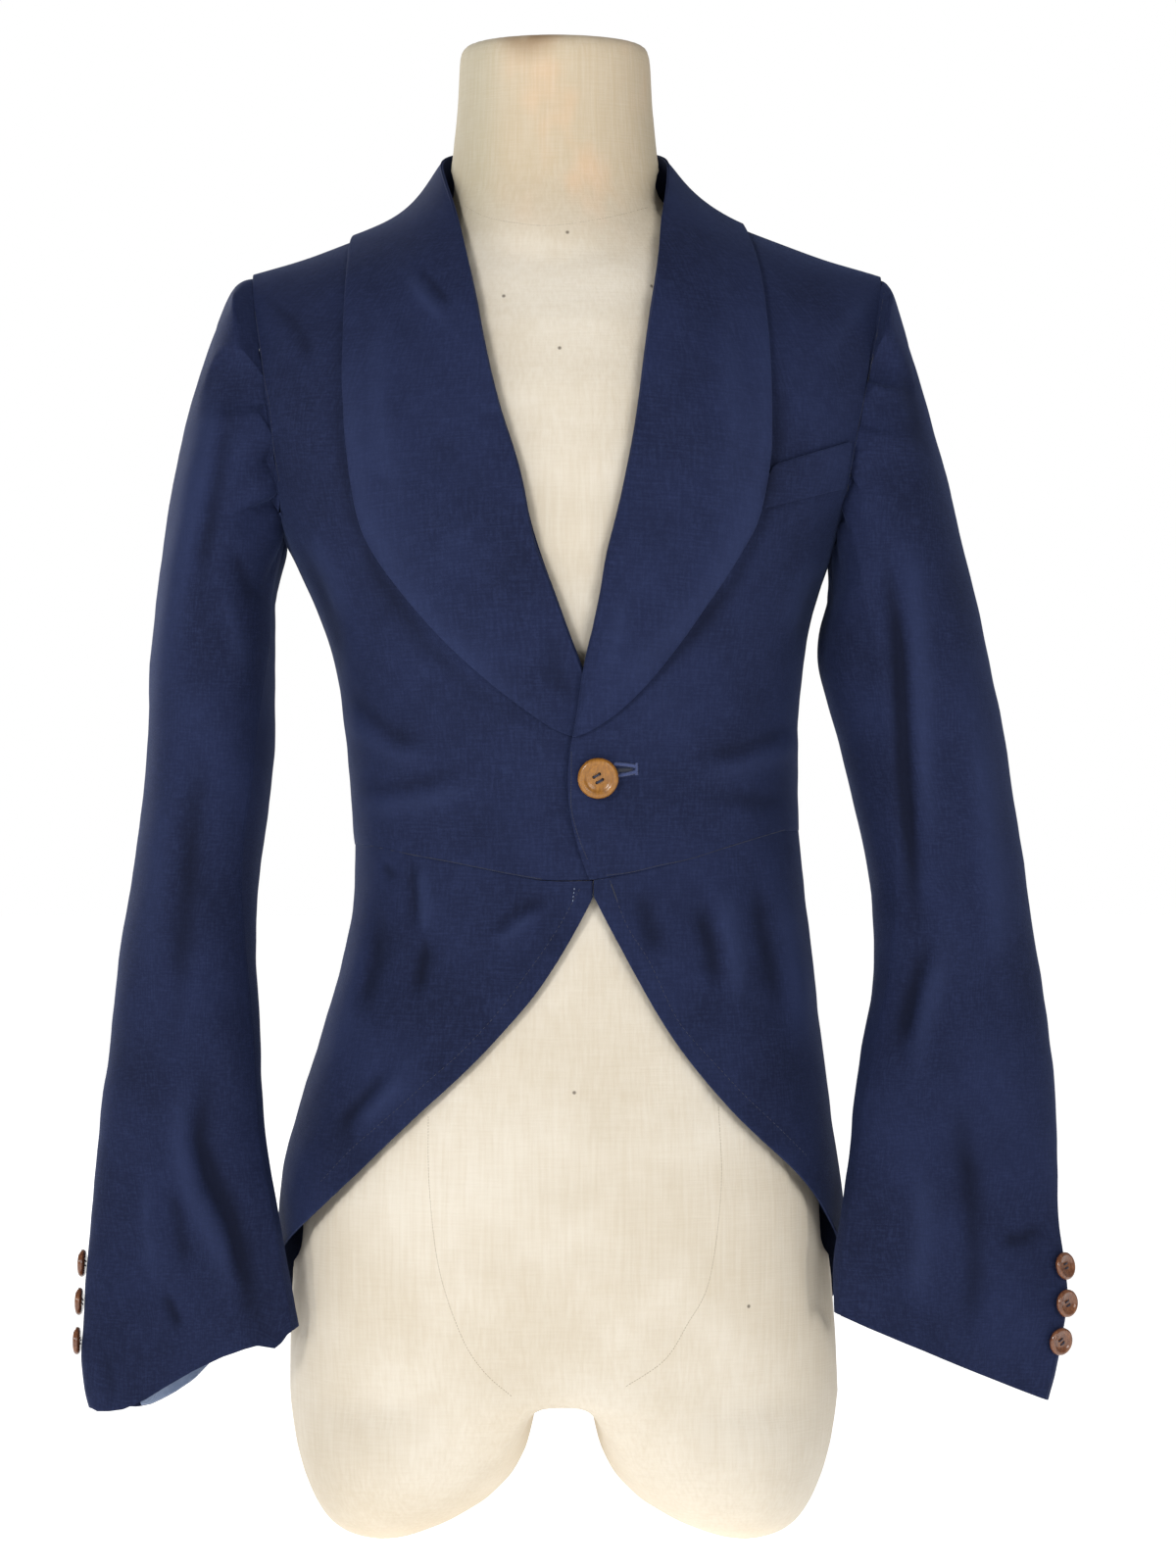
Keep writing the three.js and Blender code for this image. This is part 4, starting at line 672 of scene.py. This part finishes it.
def layCloth(mesh, where, side, isShawl):
    points = pointsOf(mesh)
    onBody = where == "body"
    facts = hang["body" if onBody else "sleeve"]
    outward = bodyOutward(points) if onBody else sleeveAxes[side].outward(points)
    calm = 1 - ease(*facts["calm"], points[:, 2]) * facts["share"]
    height = clothHeight(points, outward, where, isShawl)
    moved = points + outward * (height * calm)[:, None]
    if where == "rightSleeve":
        moved[:, 2] -= cuffDrop(frameDots(points), outward)
    setPoints(mesh, moved)
    # the weave's own place on the cloth: round the body or sleeve, and along it
    angle = np.arctan2(outward[:, 0], -outward[:, 1])
    middle = 0.0 if onBody else math.atan2(np.sin(angle).mean(), np.cos(angle).mean())
    turn = (angle - middle + math.pi) % math.tau - math.pi
    slant = points[:, 1] * 0.35 if isShawl else 0.0
    flat = np.stack([turn * facts["radius"], points[:, 2] + slant, points[:, 1] * 0.5], 1)
    writeVectors(mesh, "clothPlace", flat)
    # crease heights kept for the painted shade in troughs and the painted highlight on ridges
    creaseShading = (height - rippleHeight(points) * relief["ripple"]) * calm / (relief["full"] * mm)
    troughShadeAndRidgeHighlight = np.stack([np.clip(-creaseShading, 0, 1), np.clip(creaseShading, 0, 1), np.zeros(len(creaseShading))], 1)
    writeVectors(mesh, "clothRelief", troughShadeAndRidgeHighlight)


# Each sewn piece's cut when flat, in metres: width, length, area
cloths = {
    "front_left": (0.24, 0.43, 0.067),
    "front_right": (0.24, 0.43, 0.072),
    "back_left": (0.22, 0.44, 0.0755),
    "back_right": (0.22, 0.44, 0.074),
    "skirt_left": (0.34, 0.42, 0.099),
    "skirt_right": (0.34, 0.42, 0.101),
    "shawl_left": (0.13, 0.62, 0.037),
    "shawl_right": (0.13, 0.62, 0.043),
    "upper_sleeve_left": (0.20, 0.66, 0.082),
    "under_sleeve_left": (0.18, 0.62, 0.0865),
    "upper_sleeve_right": (0.20, 0.66, 0.0875),
    "under_sleeve_right": (0.18, 0.62, 0.0725),
    "cuff_facing_right": (0.09, 0.015, 0.0011),
    "breast_welt": (0.052, 0.031, 0.0015),
}


def plainName(node):
    first, *rest = node.split("_")
    return first + "".join(word.capitalize() for word in rest) + "Cloth"


# The sleeve heads are drawn up to the armholes, where the seam holds them
armhole = {
    "from": 0.575,
    "heights": [0.706, 0.724],
    "reach": [13.0 * mm, 6.5 * mm],
    "left": -0.5 * mm,
    "blend": 6 * mm,
    "fade": 22 * mm,
    "below": 0.06,
}


def drawToArmhole(points, side, body):
    # both halves of a sleeve move by one field, so that the seams between them stay closed
    base = np.unique(sleevePoints(side).round(4), axis=0)
    spots, gaps = [], []
    for point in base[base[:, 2] > armhole["from"]]:
        reach = np.interp(point[2], armhole["heights"], armhole["reach"])
        near, _, _, away = body.find_nearest(Vector(point), float(reach))
        if near is not None:
            spots.append(point)
            gaps.append((np.array(near) - point) * max(away - armhole["left"], 0) / max(away, 1e-6))
    spots, gaps = np.array(spots, np.float32), np.array(gaps, np.float32)
    close = points[:, 2] > armhole["from"] - armhole["below"]
    away = np.linalg.norm(points[close].astype(np.float32)[:, None] - spots[None], axis=2)
    weights = np.exp(-((away / armhole["blend"]) ** 2)) + 1e-12
    pull = (weights @ gaps) / weights.sum(1)[:, None]
    fade = np.exp(-((away.min(1) / armhole["fade"]) ** 2))
    moved = points.copy()
    moved[close] += pull * fade[:, None]
    return moved


def makeCloth(node, paints, body):
    side = "left" if "left" in node else "right"
    where = side + "Sleeve" if "sleeve" in node or "cuff" in node else "body"
    piece = shown(plainName(node), freshMesh(node))
    rounder = piece.modifiers.new("rounder", "SUBSURF")
    rounder.levels = rounder.render_levels = cage["levels"]
    rounder.boundary_smooth = "PRESERVE_CORNERS"
    mesh = baked(piece)
    if "sleeve" in node:
        setPoints(mesh, drawToArmhole(pointsOf(mesh), side, body))
    layCloth(mesh, where, side, "shawl" in node)
    mesh.shade_smooth()
    mesh.materials.clear()
    mesh.materials.append(paints["facing" if node == "cuff_facing_right" else "navy"])
    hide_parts(node)
    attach(piece, "root")
    return piece


def surfaceOf(pieces):
    points, faces = [], []
    for piece in pieces:
        base = len(points)
        points += [tuple(v.co) for v in piece.data.vertices]
        faces += [[base + i for i in face.vertices] for face in piece.data.polygons]
    return BVHTree.FromPolygons(points, faces)


def spotOn(surface, dot):
    place, normal, _, _ = surface.ray_cast(Vector(lookout["place"]), rayThrough(dot), 8.0)
    if place is None:
        raise ValueError(f"nothing lies behind the dot {dot}")
    return place, -normal if normal.y > 0 else normal


# The form's even skin. Where the coat hides it, the padding gives way a little to make room for creases
formSkin = {"cell": 4.2 * mm, "relax": 0.5, "rounds": 10, "give": 4.6 * mm, "fadeRounds": 5}
formSkin |= {"lookFrom": 4 * mm, "lookTo": 50 * mm}


def makeForm(cloth):
    piece = shown("linenForm", freshMesh("dress_form", joined=False))
    remesh = piece.modifiers.new("evenCells", "REMESH")
    remesh.mode = "VOXEL"
    remesh.voxel_size = formSkin["cell"]
    relax = piece.modifiers.new("relax", "SMOOTH")
    relax.factor = formSkin["relax"]
    relax.iterations = formSkin["rounds"]
    mesh = baked(piece)
    points = pointsOf(mesh)
    normals = readArray(mesh.vertex_normals, "vector", 3, np.float32).astype(float)
    hidden = np.zeros(len(points))
    for i, (point, normal) in enumerate(zip(points, normals)):
        start = Vector(point) - Vector(normal) * formSkin["lookFrom"]
        hidden[i] = cloth.ray_cast(start, Vector(normal), formSkin["lookTo"])[0] is not None
    edges = readArray(mesh.edges, "vertices", 2, np.int32)
    counts = np.bincount(edges.ravel(), minlength=len(points))
    for _ in range(formSkin["fadeRounds"]):
        total = np.bincount(edges[:, 0], hidden[edges[:, 1]], len(points))
        total += np.bincount(edges[:, 1], hidden[edges[:, 0]], len(points))
        hidden = np.minimum(hidden, total / np.maximum(counts, 1))
    setPoints(mesh, points - normals * (hidden * formSkin["give"])[:, None])
    mesh.shade_smooth()
    surface = surfaceOf([piece])
    mesh.materials.clear()
    mesh.materials.append(linenPaint([tuple(spotOn(surface, dot)[0]) for dot in linen["specks"]]))
    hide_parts("dress_form")
    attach(piece, "root")
    return surface


# A button turned from a profile (share of its radius, share of its height), with four holes
buttonCut = {
    "profile": [(0.0, 0.0), (0.72, 0.0), (0.93, 0.16), (1.0, 0.45), (0.98, 0.74), (0.91, 0.94),
                (0.82, 1.0), (0.72, 0.96), (0.64, 0.80), (0.54, 0.68), (0.30, 0.62), (0.0, 0.60)],
    "sides": 56,
    "holeAway": 0.22,
    "hole": [(0.0, -0.4), (1.0, -0.4), (1.0, 1.4), (0.0, 1.4)],
    "holeSize": 0.082,
    "holeSides": 14,
    "sharp": math.radians(40),
}

# Its thread: two strands for each pair of holes, with their lift and their shift to the side
buttonThread = {
    "strands": [(0.05, 0.25), (0.02, -0.25)],
    "steps": (0.12, 0.3, 0.5, 0.7, 0.88),
    "level": 0.62, "end": -0.1, "rise": 0.05, "size": 0.035, "sides": 8,
}


def ringPlaces(sides):
    return [(math.cos(math.tau * i / sides), math.sin(math.tau * i / sides)) for i in range(sides)]


def ringMesh(shape, frameOf, radius, height, profile, sides):
    rings = []
    for share, level in profile:
        if share == 0.0:
            rings.append([shape.verts.new(frameOf @ Vector((0, 0, level * height)))])
            continue
        wide = share * radius
        ring = [Vector((wide * x, wide * y, level * height)) for x, y in ringPlaces(sides)]
        rings.append([shape.verts.new(frameOf @ point) for point in ring])
    for low, high in zip(rings, rings[1:]):
        for i in range(sides):
            j = (i + 1) % sides
            corners = [low[i % len(low)], low[j % len(low)], high[j % len(high)], high[i % len(high)]]
            shape.faces.new(list(dict.fromkeys(corners)))


def discOf(node, away):
    # centre, axis, radius and height of a button's solid
    points = pointsOf(nodes[node].data)
    points = np.unique(points.round(6), axis=0)
    middle = points.mean(0)
    axis = np.linalg.svd(points - middle, full_matrices=False)[2][2]
    if axis @ away(middle[None])[0] < 0:
        axis = -axis
    levels = (points - middle) @ axis
    flat = (points - middle) - np.outer(levels, axis)
    radius = np.linalg.norm(flat, axis=1).max()
    base = middle + axis * levels.min()
    return Vector(base), Vector(axis), radius, levels.max() - levels.min()


def tubeBetween(shape, frameOf, path, radius, sides):
    rings = []
    for i, point in enumerate(path):
        ahead = (path[min(i + 1, len(path) - 1)] - path[max(i - 1, 0)]).normalized()
        across = ahead.cross(Vector((0.1, 0.2, 1.0))).normalized()
        up = across.cross(ahead)
        ring = [point + (across * x + up * y) * radius for x, y in ringPlaces(sides)]
        rings.append([shape.verts.new(frameOf @ spot) for spot in ring])
    for low, high in zip(rings, rings[1:]):
        for k in range(sides):
            shape.faces.new([low[k], low[(k + 1) % sides], high[(k + 1) % sides], high[k]])
    shape.faces.new(rings[0][::-1])
    shape.faces.new(rings[-1])


def closedPiece(name, shape, paint):
    bmesh.ops.recalc_face_normals(shape, faces=shape.faces)
    mesh = bpy.data.meshes.new(name)
    shape.to_mesh(mesh)
    shape.free()
    mesh.shade_smooth()
    mesh.materials.append(paint)
    piece = shown(name, mesh)
    return piece


def threadButton(name, frameOf, radius, height, holes, paint):
    # thread joins the holes in two pairs and goes down through them
    shape = bmesh.new()
    level = height * buttonThread["level"]
    end = Vector((0, 0, buttonThread["end"] * height))
    for first, second in (holes[:2], holes[2:]):
        across = (second - first).cross(Vector((0, 0, 1))).normalized()
        for lift, shift in buttonThread["strands"]:
            side = across * (shift * buttonCut["holeSize"] * radius)
            path = [first + side + end, first + side + Vector((0, 0, level))]
            for t in buttonThread["steps"]:
                rise = math.sin(math.pi * t) * radius * buttonThread["rise"] + radius * lift
                path.append(first.lerp(second, t) + side + Vector((0, 0, level + rise)))
            path += [second + side + Vector((0, 0, level)), second + side + end]
            tubeBetween(shape, frameOf, path, buttonThread["size"] * radius, buttonThread["sides"])
    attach(closedPiece(name, shape, paint), "root")


def makeButton(node, away, turn, paint, thread):
    base, axis, radius, height = discOf(node, away)
    across = Vector((0, 0, 1)).cross(axis).normalized()
    up = axis.cross(across)
    frameOf = Matrix.Translation(base) @ Matrix((across, up, axis)).transposed().to_4x4()
    shape = bmesh.new()
    ringMesh(shape, frameOf, radius, height, buttonCut["profile"], buttonCut["sides"])
    name = plainName(node).replace("Cloth", "")
    disc = closedPiece(name + "Disc", shape, paint)
    tool = bmesh.new()
    holes = []
    for corner in range(4):
        angle = turn + math.pi / 4 + corner * math.pi / 2
        spot = Vector((math.cos(angle), math.sin(angle), 0)) * (buttonCut["holeAway"] * radius)
        holes.append(spot)
        place = frameOf @ Matrix.Translation(spot)
        wide = buttonCut["holeSize"] * radius
        ringMesh(tool, place, wide, height, buttonCut["hole"], buttonCut["holeSides"])
    cutter = closedPiece(name + "Holes", tool, paint)
    cut = disc.modifiers.new("holes", "BOOLEAN")
    cut.operation = "DIFFERENCE"
    cut.object = cutter
    cut.solver = "EXACT"
    mesh = baked(disc)
    bpy.data.objects.remove(cutter)
    mesh.shade_smooth()
    mesh.set_sharp_from_angle(angle=buttonCut["sharp"])
    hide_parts(node)
    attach(disc, "root")
    threadButton(name + "Thread", frameOf, radius, height, holes, thread)


# A row of stitches: Geometry Nodes put one small spindle at each pitch of a line, turned to its aim
def stitchTree(paint):
    tree = bpy.data.node_groups.new("stitchRow", "GeometryNodeTree")
    face = tree.interface
    face.new_socket("Geometry", in_out="INPUT", socket_type="NodeSocketGeometry")
    for name in ("Pitch", "Length", "Width", "Unevenness"):
        face.new_socket(name, in_out="INPUT", socket_type="NodeSocketFloat")
    face.new_socket("Seed", in_out="INPUT", socket_type="NodeSocketInt")
    face.new_socket("Geometry", in_out="OUTPUT", socket_type="NodeSocketGeometry")

    def node(kind, settings=None, sockets=None):
        made = tree.nodes.new(kind)
        for key, value in (settings or {}).items():
            setattr(made, key, value)
        for key, value in (sockets or {}).items():
            if isinstance(value, bpy.types.NodeSocket):
                tree.links.new(value, made.inputs[key])
            else:
                made.inputs[key].default_value = value
        return made

    given = node("NodeGroupInput").outputs
    line = node("GeometryNodeMeshToCurve", None, {"Mesh": given["Geometry"]}).outputs[0]
    sockets = {"Curve": line, "Length": given["Pitch"]}
    spots = node("GeometryNodeCurveToPoints", {"mode": "LENGTH"}, sockets)
    aim = node("GeometryNodeInputNamedAttribute", {"data_type": "FLOAT_VECTOR"}, {"Name": "aim"})
    drift = node("FunctionNodeRandomValue", {"data_type": "FLOAT_VECTOR"}, {"Seed": given["Seed"]})
    drift.inputs[0].default_value = (-1, -1, -1)
    drift.inputs[1].default_value = (1, 1, 1)
    sockets = {0: drift.outputs[0], "Scale": given["Unevenness"]}
    uneven = node("ShaderNodeVectorMath", {"operation": "SCALE"}, sockets)
    way = node("ShaderNodeVectorMath", {"operation": "ADD"}, {0: aim.outputs[0], 1: uneven.outputs[0]})
    turn = node("FunctionNodeAlignRotationToVector", {"axis": "X"}, {"Vector": way.outputs[0]})
    size = node("ShaderNodeCombineXYZ", None, {0: given["Length"], 1: given["Width"], 2: given["Width"]})
    spindle = node("GeometryNodeMeshUVSphere", None, {"Segments": 6, "Rings": 4, "Radius": 0.5})
    sockets = {"Points": spots.outputs["Points"], "Instance": spindle.outputs[0]}
    sockets |= {"Rotation": turn.outputs[0], "Scale": size.outputs[0]}
    rows = node("GeometryNodeInstanceOnPoints", None, sockets)
    solid = node("GeometryNodeRealizeInstances", None, {0: rows.outputs[0]})
    smooth = node("GeometryNodeSetShadeSmooth", None, {"Geometry": solid.outputs[0]})
    painted = node("GeometryNodeSetMaterial", None, {"Geometry": smooth.outputs[0], "Material": paint})
    node("NodeGroupOutput", None, {0: painted.outputs[0]})
    return tree


def stitchRow(name, points, aims, trees, kind, seed):
    facts = stitchFacts(kind)
    mesh = bpy.data.meshes.new(name + "Line")
    mesh.from_pydata(points, [(i, i + 1) for i in range(len(points) - 1)], [])
    writeVectors(mesh, "aim", aims)
    piece = shown(name, mesh)
    modifier = piece.modifiers.new("stitches", "NODES")
    modifier.node_group = trees[facts["thread"]]
    settings = {key: facts[key] * mm for key in ("Pitch", "Length", "Width")}
    settings |= {"Seed": seed, "Unevenness": unevenness.get(kind, 0.12)}
    for item in modifier.node_group.interface.items_tree:
        if item.in_out == "INPUT" and item.name in settings:
            modifier[item.identifier] = settings[item.name]
    baked(piece)
    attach(piece, "root")


def lineOver(surface, dots, lift, steps=6):
    # a smooth line of places on the cloth through frame dots, raised a little, with the way it runs
    dots = np.array(dots, float)
    fine = []
    for i in range(len(dots) - 1):
        before = dots[max(i - 1, 0)]
        after = dots[min(i + 2, len(dots) - 1)]
        for k in range(steps):
            t = k / steps
            curve = 2 * dots[i] + (dots[i + 1] - before) * t
            curve = curve + (2 * before - 5 * dots[i] + 4 * dots[i + 1] - after) * t ** 2
            curve = curve + (3 * dots[i] - before - 3 * dots[i + 1] + after) * t ** 3
            fine.append(curve / 2)
    fine.append(dots[-1])
    places, normals = [], []
    for dot in fine:
        place, normal = spotOn(surface, dot)
        places.append(place + normal * lift)
        normals.append(normal)
    last = len(places) - 1
    ways = [(places[min(i + 1, last)] - places[max(i - 1, 0)]).normalized() for i in range(last + 1)]
    return places, ways, normals


# Kinds of sewing, in mm: a stitch's sizes, and how far its line is lifted off the cloth
stitchColumns = ("thread", "Pitch", "Length", "Width", "lift")
stitchKinds = {
    "hem": ("navy", 3.0, 2.3, 0.42, -0.06),
    "darkTack": ("dark", 0.9, 1.6, 0.7, 0.08),
    "lightTack": ("light", 1.8, 1.3, 0.5, 0.08),
    "edge": ("dark", 1.5, 1.7, 0.5, -0.1),
    "waist": ("dark", 1.3, 1.7, 0.55, -0.12),
    "armhole": ("dark", 1.3, 1.7, 0.5, -0.15),
    "form": ("linen", 1.7, 2.0, 0.55, -0.16),
    "formNeck": ("linen", 1.7, 2.0, 0.5, -0.16),
    "purl": ("blue", 0.62, 2.6, 0.75, 0.25),
    "bar": ("blue", 0.6, 2.0, 0.7, 0.3),
}
unevenness = {"purl": 0.10, "bar": 0.08}


def stitchFacts(kind):
    return dict(zip(stitchColumns, stitchKinds[kind]))


# Sewing that shows: its kind, and the frame dots of its line
sewing = {
    "hemRight": ("hem", [(591, 908), (573, 941), (556, 968), (535, 997), (509, 1032), (471, 1073),
                         (436, 1104), (397, 1139), (359, 1172), (328, 1205)]),
    "hemLeft": ("hem", [(623, 900), (628, 915), (641, 947), (663, 982), (688, 1035), (708, 1062),
                        (732, 1088), (760, 1118), (796, 1152), (822, 1178)]),
    "tackDark": ("darkTack", [(624, 903), (629, 917)]),
    "tackLight": ("lightTack", [(586, 907), (584.5, 919)]),
    "frontEdge": ("edge", [(583, 768), (583, 795), (583, 825), (590, 853), (599, 876)]),
    "waistRight": ("waist", [(364, 860), (420, 872), (463, 880), (512, 890), (552, 897)]),
    "waistLeft": ("waist", [(620, 893), (644, 890), (673, 883), (702, 877), (731, 868), (760, 859),
                            (800, 847)]),
    "armholeRight": ("armhole", [(260, 318), (264, 342), (270, 388), (275, 415), (280, 463), (285, 490)]),
    "armholeLeft": ("armhole", [(902, 300), (892, 356), (884, 396), (877, 431), (871, 463), (864, 506)]),
    "formSeamRight": ("form", [(437, 1140), (438, 1211), (448, 1295), (471, 1364), (494, 1400),
                               (521, 1424)]),
    "formSeamLeft": ("form", [(733, 1130), (736, 1211), (724, 1306), (701, 1352), (678, 1388),
                              (640, 1414)]),
    "formSeamNeck": ("formNeck", [(467, 206), (495, 221), (530, 228), (566, 230), (620, 222),
                                  (660, 212)]),
}

# The buttonhole: lines of frame dots, the slope of its purls, and the slit's half width and heights in mm
buttonhole = {
    "top": [(627, 779.5), (638, 780.2), (648.5, 781.8)],
    "low": [(627, 791.6), (638, 790.2), (648.5, 787.6)],
    "bar": [(649.5, 779), (649.5, 790.4)],
    "slit": [(625, 786.4), (646, 785.0)],
    "slope": 0.25,
}
slit = {"half": 1.5, "taper": 0.6, "tip": 0.25, "lift": 0.05, "above": 0.1, "below": 0.3}


# A dark strip laid along the buttonhole stands for the painted shade in its slit; the cloth itself is not
# cut
def laySlitShade(cloth, paint):
    places, ways, normals = lineOver(cloth, buttonhole["slit"], slit["lift"] * mm)
    shape = bmesh.new()
    last = len(places) - 1
    sides = {1: [], -1: []}
    for i, (place, way, normal) in enumerate(zip(places, ways, normals)):
        half = (slit["half"] - slit["taper"] * i / last) * mm
        half *= slit["tip"] if i in (0, last) else 1.0
        for side in sides:
            point = place + way.cross(normal) * (half * side)
            high = shape.verts.new(point + normal * slit["above"] * mm)
            low = shape.verts.new(point - normal * slit["below"] * mm)
            sides[side].append((high, low))
    for i in range(last):
        (a, b), (c, d) = sides[1][i], sides[1][i + 1]
        (e, f), (g, h) = sides[-1][i], sides[-1][i + 1]
        for corners in ((a, c, g, e), (b, f, h, d), (a, b, d, c), (e, g, h, f)):
            shape.faces.new(corners)
    for i in (0, last):
        (a, b), (e, f) = sides[1][i], sides[-1][i]
        shape.faces.new((a, e, f, b))
    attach(closedPiece("buttonholeSlitShade", shape, paint), "root")


def sew(cloth, form, trees, threads):
    for seed, (name, (kind, line)) in enumerate(sewing.items(), 3):
        surface = form if kind.startswith("form") else cloth
        places, ways, _ = lineOver(surface, line, stitchFacts(kind)["lift"] * mm)
        stitchRow(name + "Stitches", places, ways, trees, kind, seed)
    for name, sign in (("top", -1.0), ("low", 1.0)):
        places, ways, normals = lineOver(cloth, buttonhole[name], stitchFacts("purl")["lift"] * mm)
        slope = buttonhole["slope"] * sign
        aims = [way.cross(normal) + way * slope for way, normal in zip(ways, normals)]
        stitchRow(name + "HolePurl", places, aims, trees, "purl", 40)
    places, ways, normals = lineOver(cloth, buttonhole["bar"], stitchFacts("bar")["lift"] * mm)
    aims = [way.cross(normal) for way, normal in zip(ways, normals)]
    stitchRow("holeBarTack", places, aims, trees, "bar", 41)
    laySlitShade(cloth, threads["dark"])


# Plain pale floor, and soft light from the front with more of it from the left
studio = {
    "sky": 0.27,
    "lamps": [
        ("frontLeftLamp", (-1.6, -3.0, 1.5), 0.9, 50.0),
        ("frontRightLamp", (1.5, -3.1, 1.1), 1.3, 24.0),
        ("backLamp", (-1.8, 2.4, 1.6), 1.6, 46.0),
    ],
    "aim": (0, 0, 0.45),
    "floorReach": 14,
    "floorLevel": -0.0015,
    "floorGlow": 0.78,
}


def makeStudio():
    world = bpy.data.worlds.new("studio")
    world.use_nodes = True
    tree = world.node_tree
    soft = tree.nodes["Background"]
    soft.inputs[0].default_value = rgb(1, 1, 1)
    soft.inputs[1].default_value = studio["sky"]
    white = tree.nodes.new("ShaderNodeBackground")
    white.inputs[0].default_value = rgb(1, 1, 1)
    seen = tree.nodes.new("ShaderNodeLightPath")
    chosen = tree.nodes.new("ShaderNodeMixShader")
    tree.links.new(seen.outputs["Is Camera Ray"], chosen.inputs[0])
    tree.links.new(soft.outputs[0], chosen.inputs[1])
    tree.links.new(white.outputs[0], chosen.inputs[2])
    tree.links.new(chosen.outputs[0], tree.nodes["World Output"].inputs[0])
    bpy.context.scene.world = world
    for name, place, size, power in studio["lamps"]:
        lamp = bpy.data.lights.new(name, "AREA")
        lamp.shape = "DISK"
        lamp.size = size
        lamp.energy = power
        stand = shown(name, lamp)
        stand.location = place
        stand.rotation_euler = (Vector(studio["aim"]) - Vector(place)).to_track_quat("-Z", "Y").to_euler()
    shape = bmesh.new()
    reach, level = studio["floorReach"], studio["floorLevel"]
    corners = [(-reach, -reach), (reach, -reach), (reach, reach), (-reach, reach)]
    shape.faces.new([shape.verts.new((x, y, level)) for x, y in corners])
    mesh = bpy.data.meshes.new("floor")
    shape.to_mesh(mesh)
    shape.free()
    floor = shown("floor", mesh)
    glow = studio["floorGlow"]
    paint = Paint("paleFloor", Roughness=0.9, Specular_IOR_Level=0.1, Emission_Strength=glow)
    paint.feed("Emission Color", rgb(1.0, 1.0, 1.0))
    cloud = paint.noise(paint.place(), 2.0, 2.0, 0.5)
    paint.feed("Base Color", paint.blend(cloud * 0.2, rgb(0.86, 0.86, 0.85), rgb(0.82, 0.82, 0.81)))
    mesh.materials.append(paint.material)
    floor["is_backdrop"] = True


makeCamera()
makeStudio()
bpy.context.scene.view_settings.view_transform = "Standard"
print("camera, floor and lights made")

paints = {"navy": navyPaint(), "facing": facingPaint()}
horns = {name: hornPaint(name) for name in horn}
threads = {name: threadPaint(name) for name in threadTones}
bareNodes = [node for node in cloths if node.startswith(("front_", "back_"))]
bodyParts = [shown(node + "Bare", freshMesh(node)) for node in bareNodes]
bodySurface = surfaceOf(bodyParts)
for part in bodyParts:
    bpy.data.objects.remove(part)
clothPieces = [makeCloth(node, paints, bodySurface) for node in cloths]
clothSurface = surfaceOf(clothPieces)
print("cloth laid,", len(clothPieces), "pieces")

formSurface = makeForm(clothSurface)
print("form covered in linen")

turn = math.radians(30)
makeButton("front_button", bodyOutward, turn, horns["hornButton"], threads["navy"])
for side in ("left", "right"):
    for number in (1, 2, 3):
        node, turn = f"cuff_button_{side}_{number}", math.radians(12 * number)
        away = sleeveAxes[side].outward
        makeButton(node, away, turn, horns["cuffButton"], threads["navy"])
print("buttons turned")

trees = {name: stitchTree(paint) for name, paint in threads.items()}
sew(clothSurface, formSurface, trees, threads)
print("sewing done")

total = sum(len(p.vertices) - 2 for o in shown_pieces() for p in o.data.polygons)
print("triangles shown:", total)
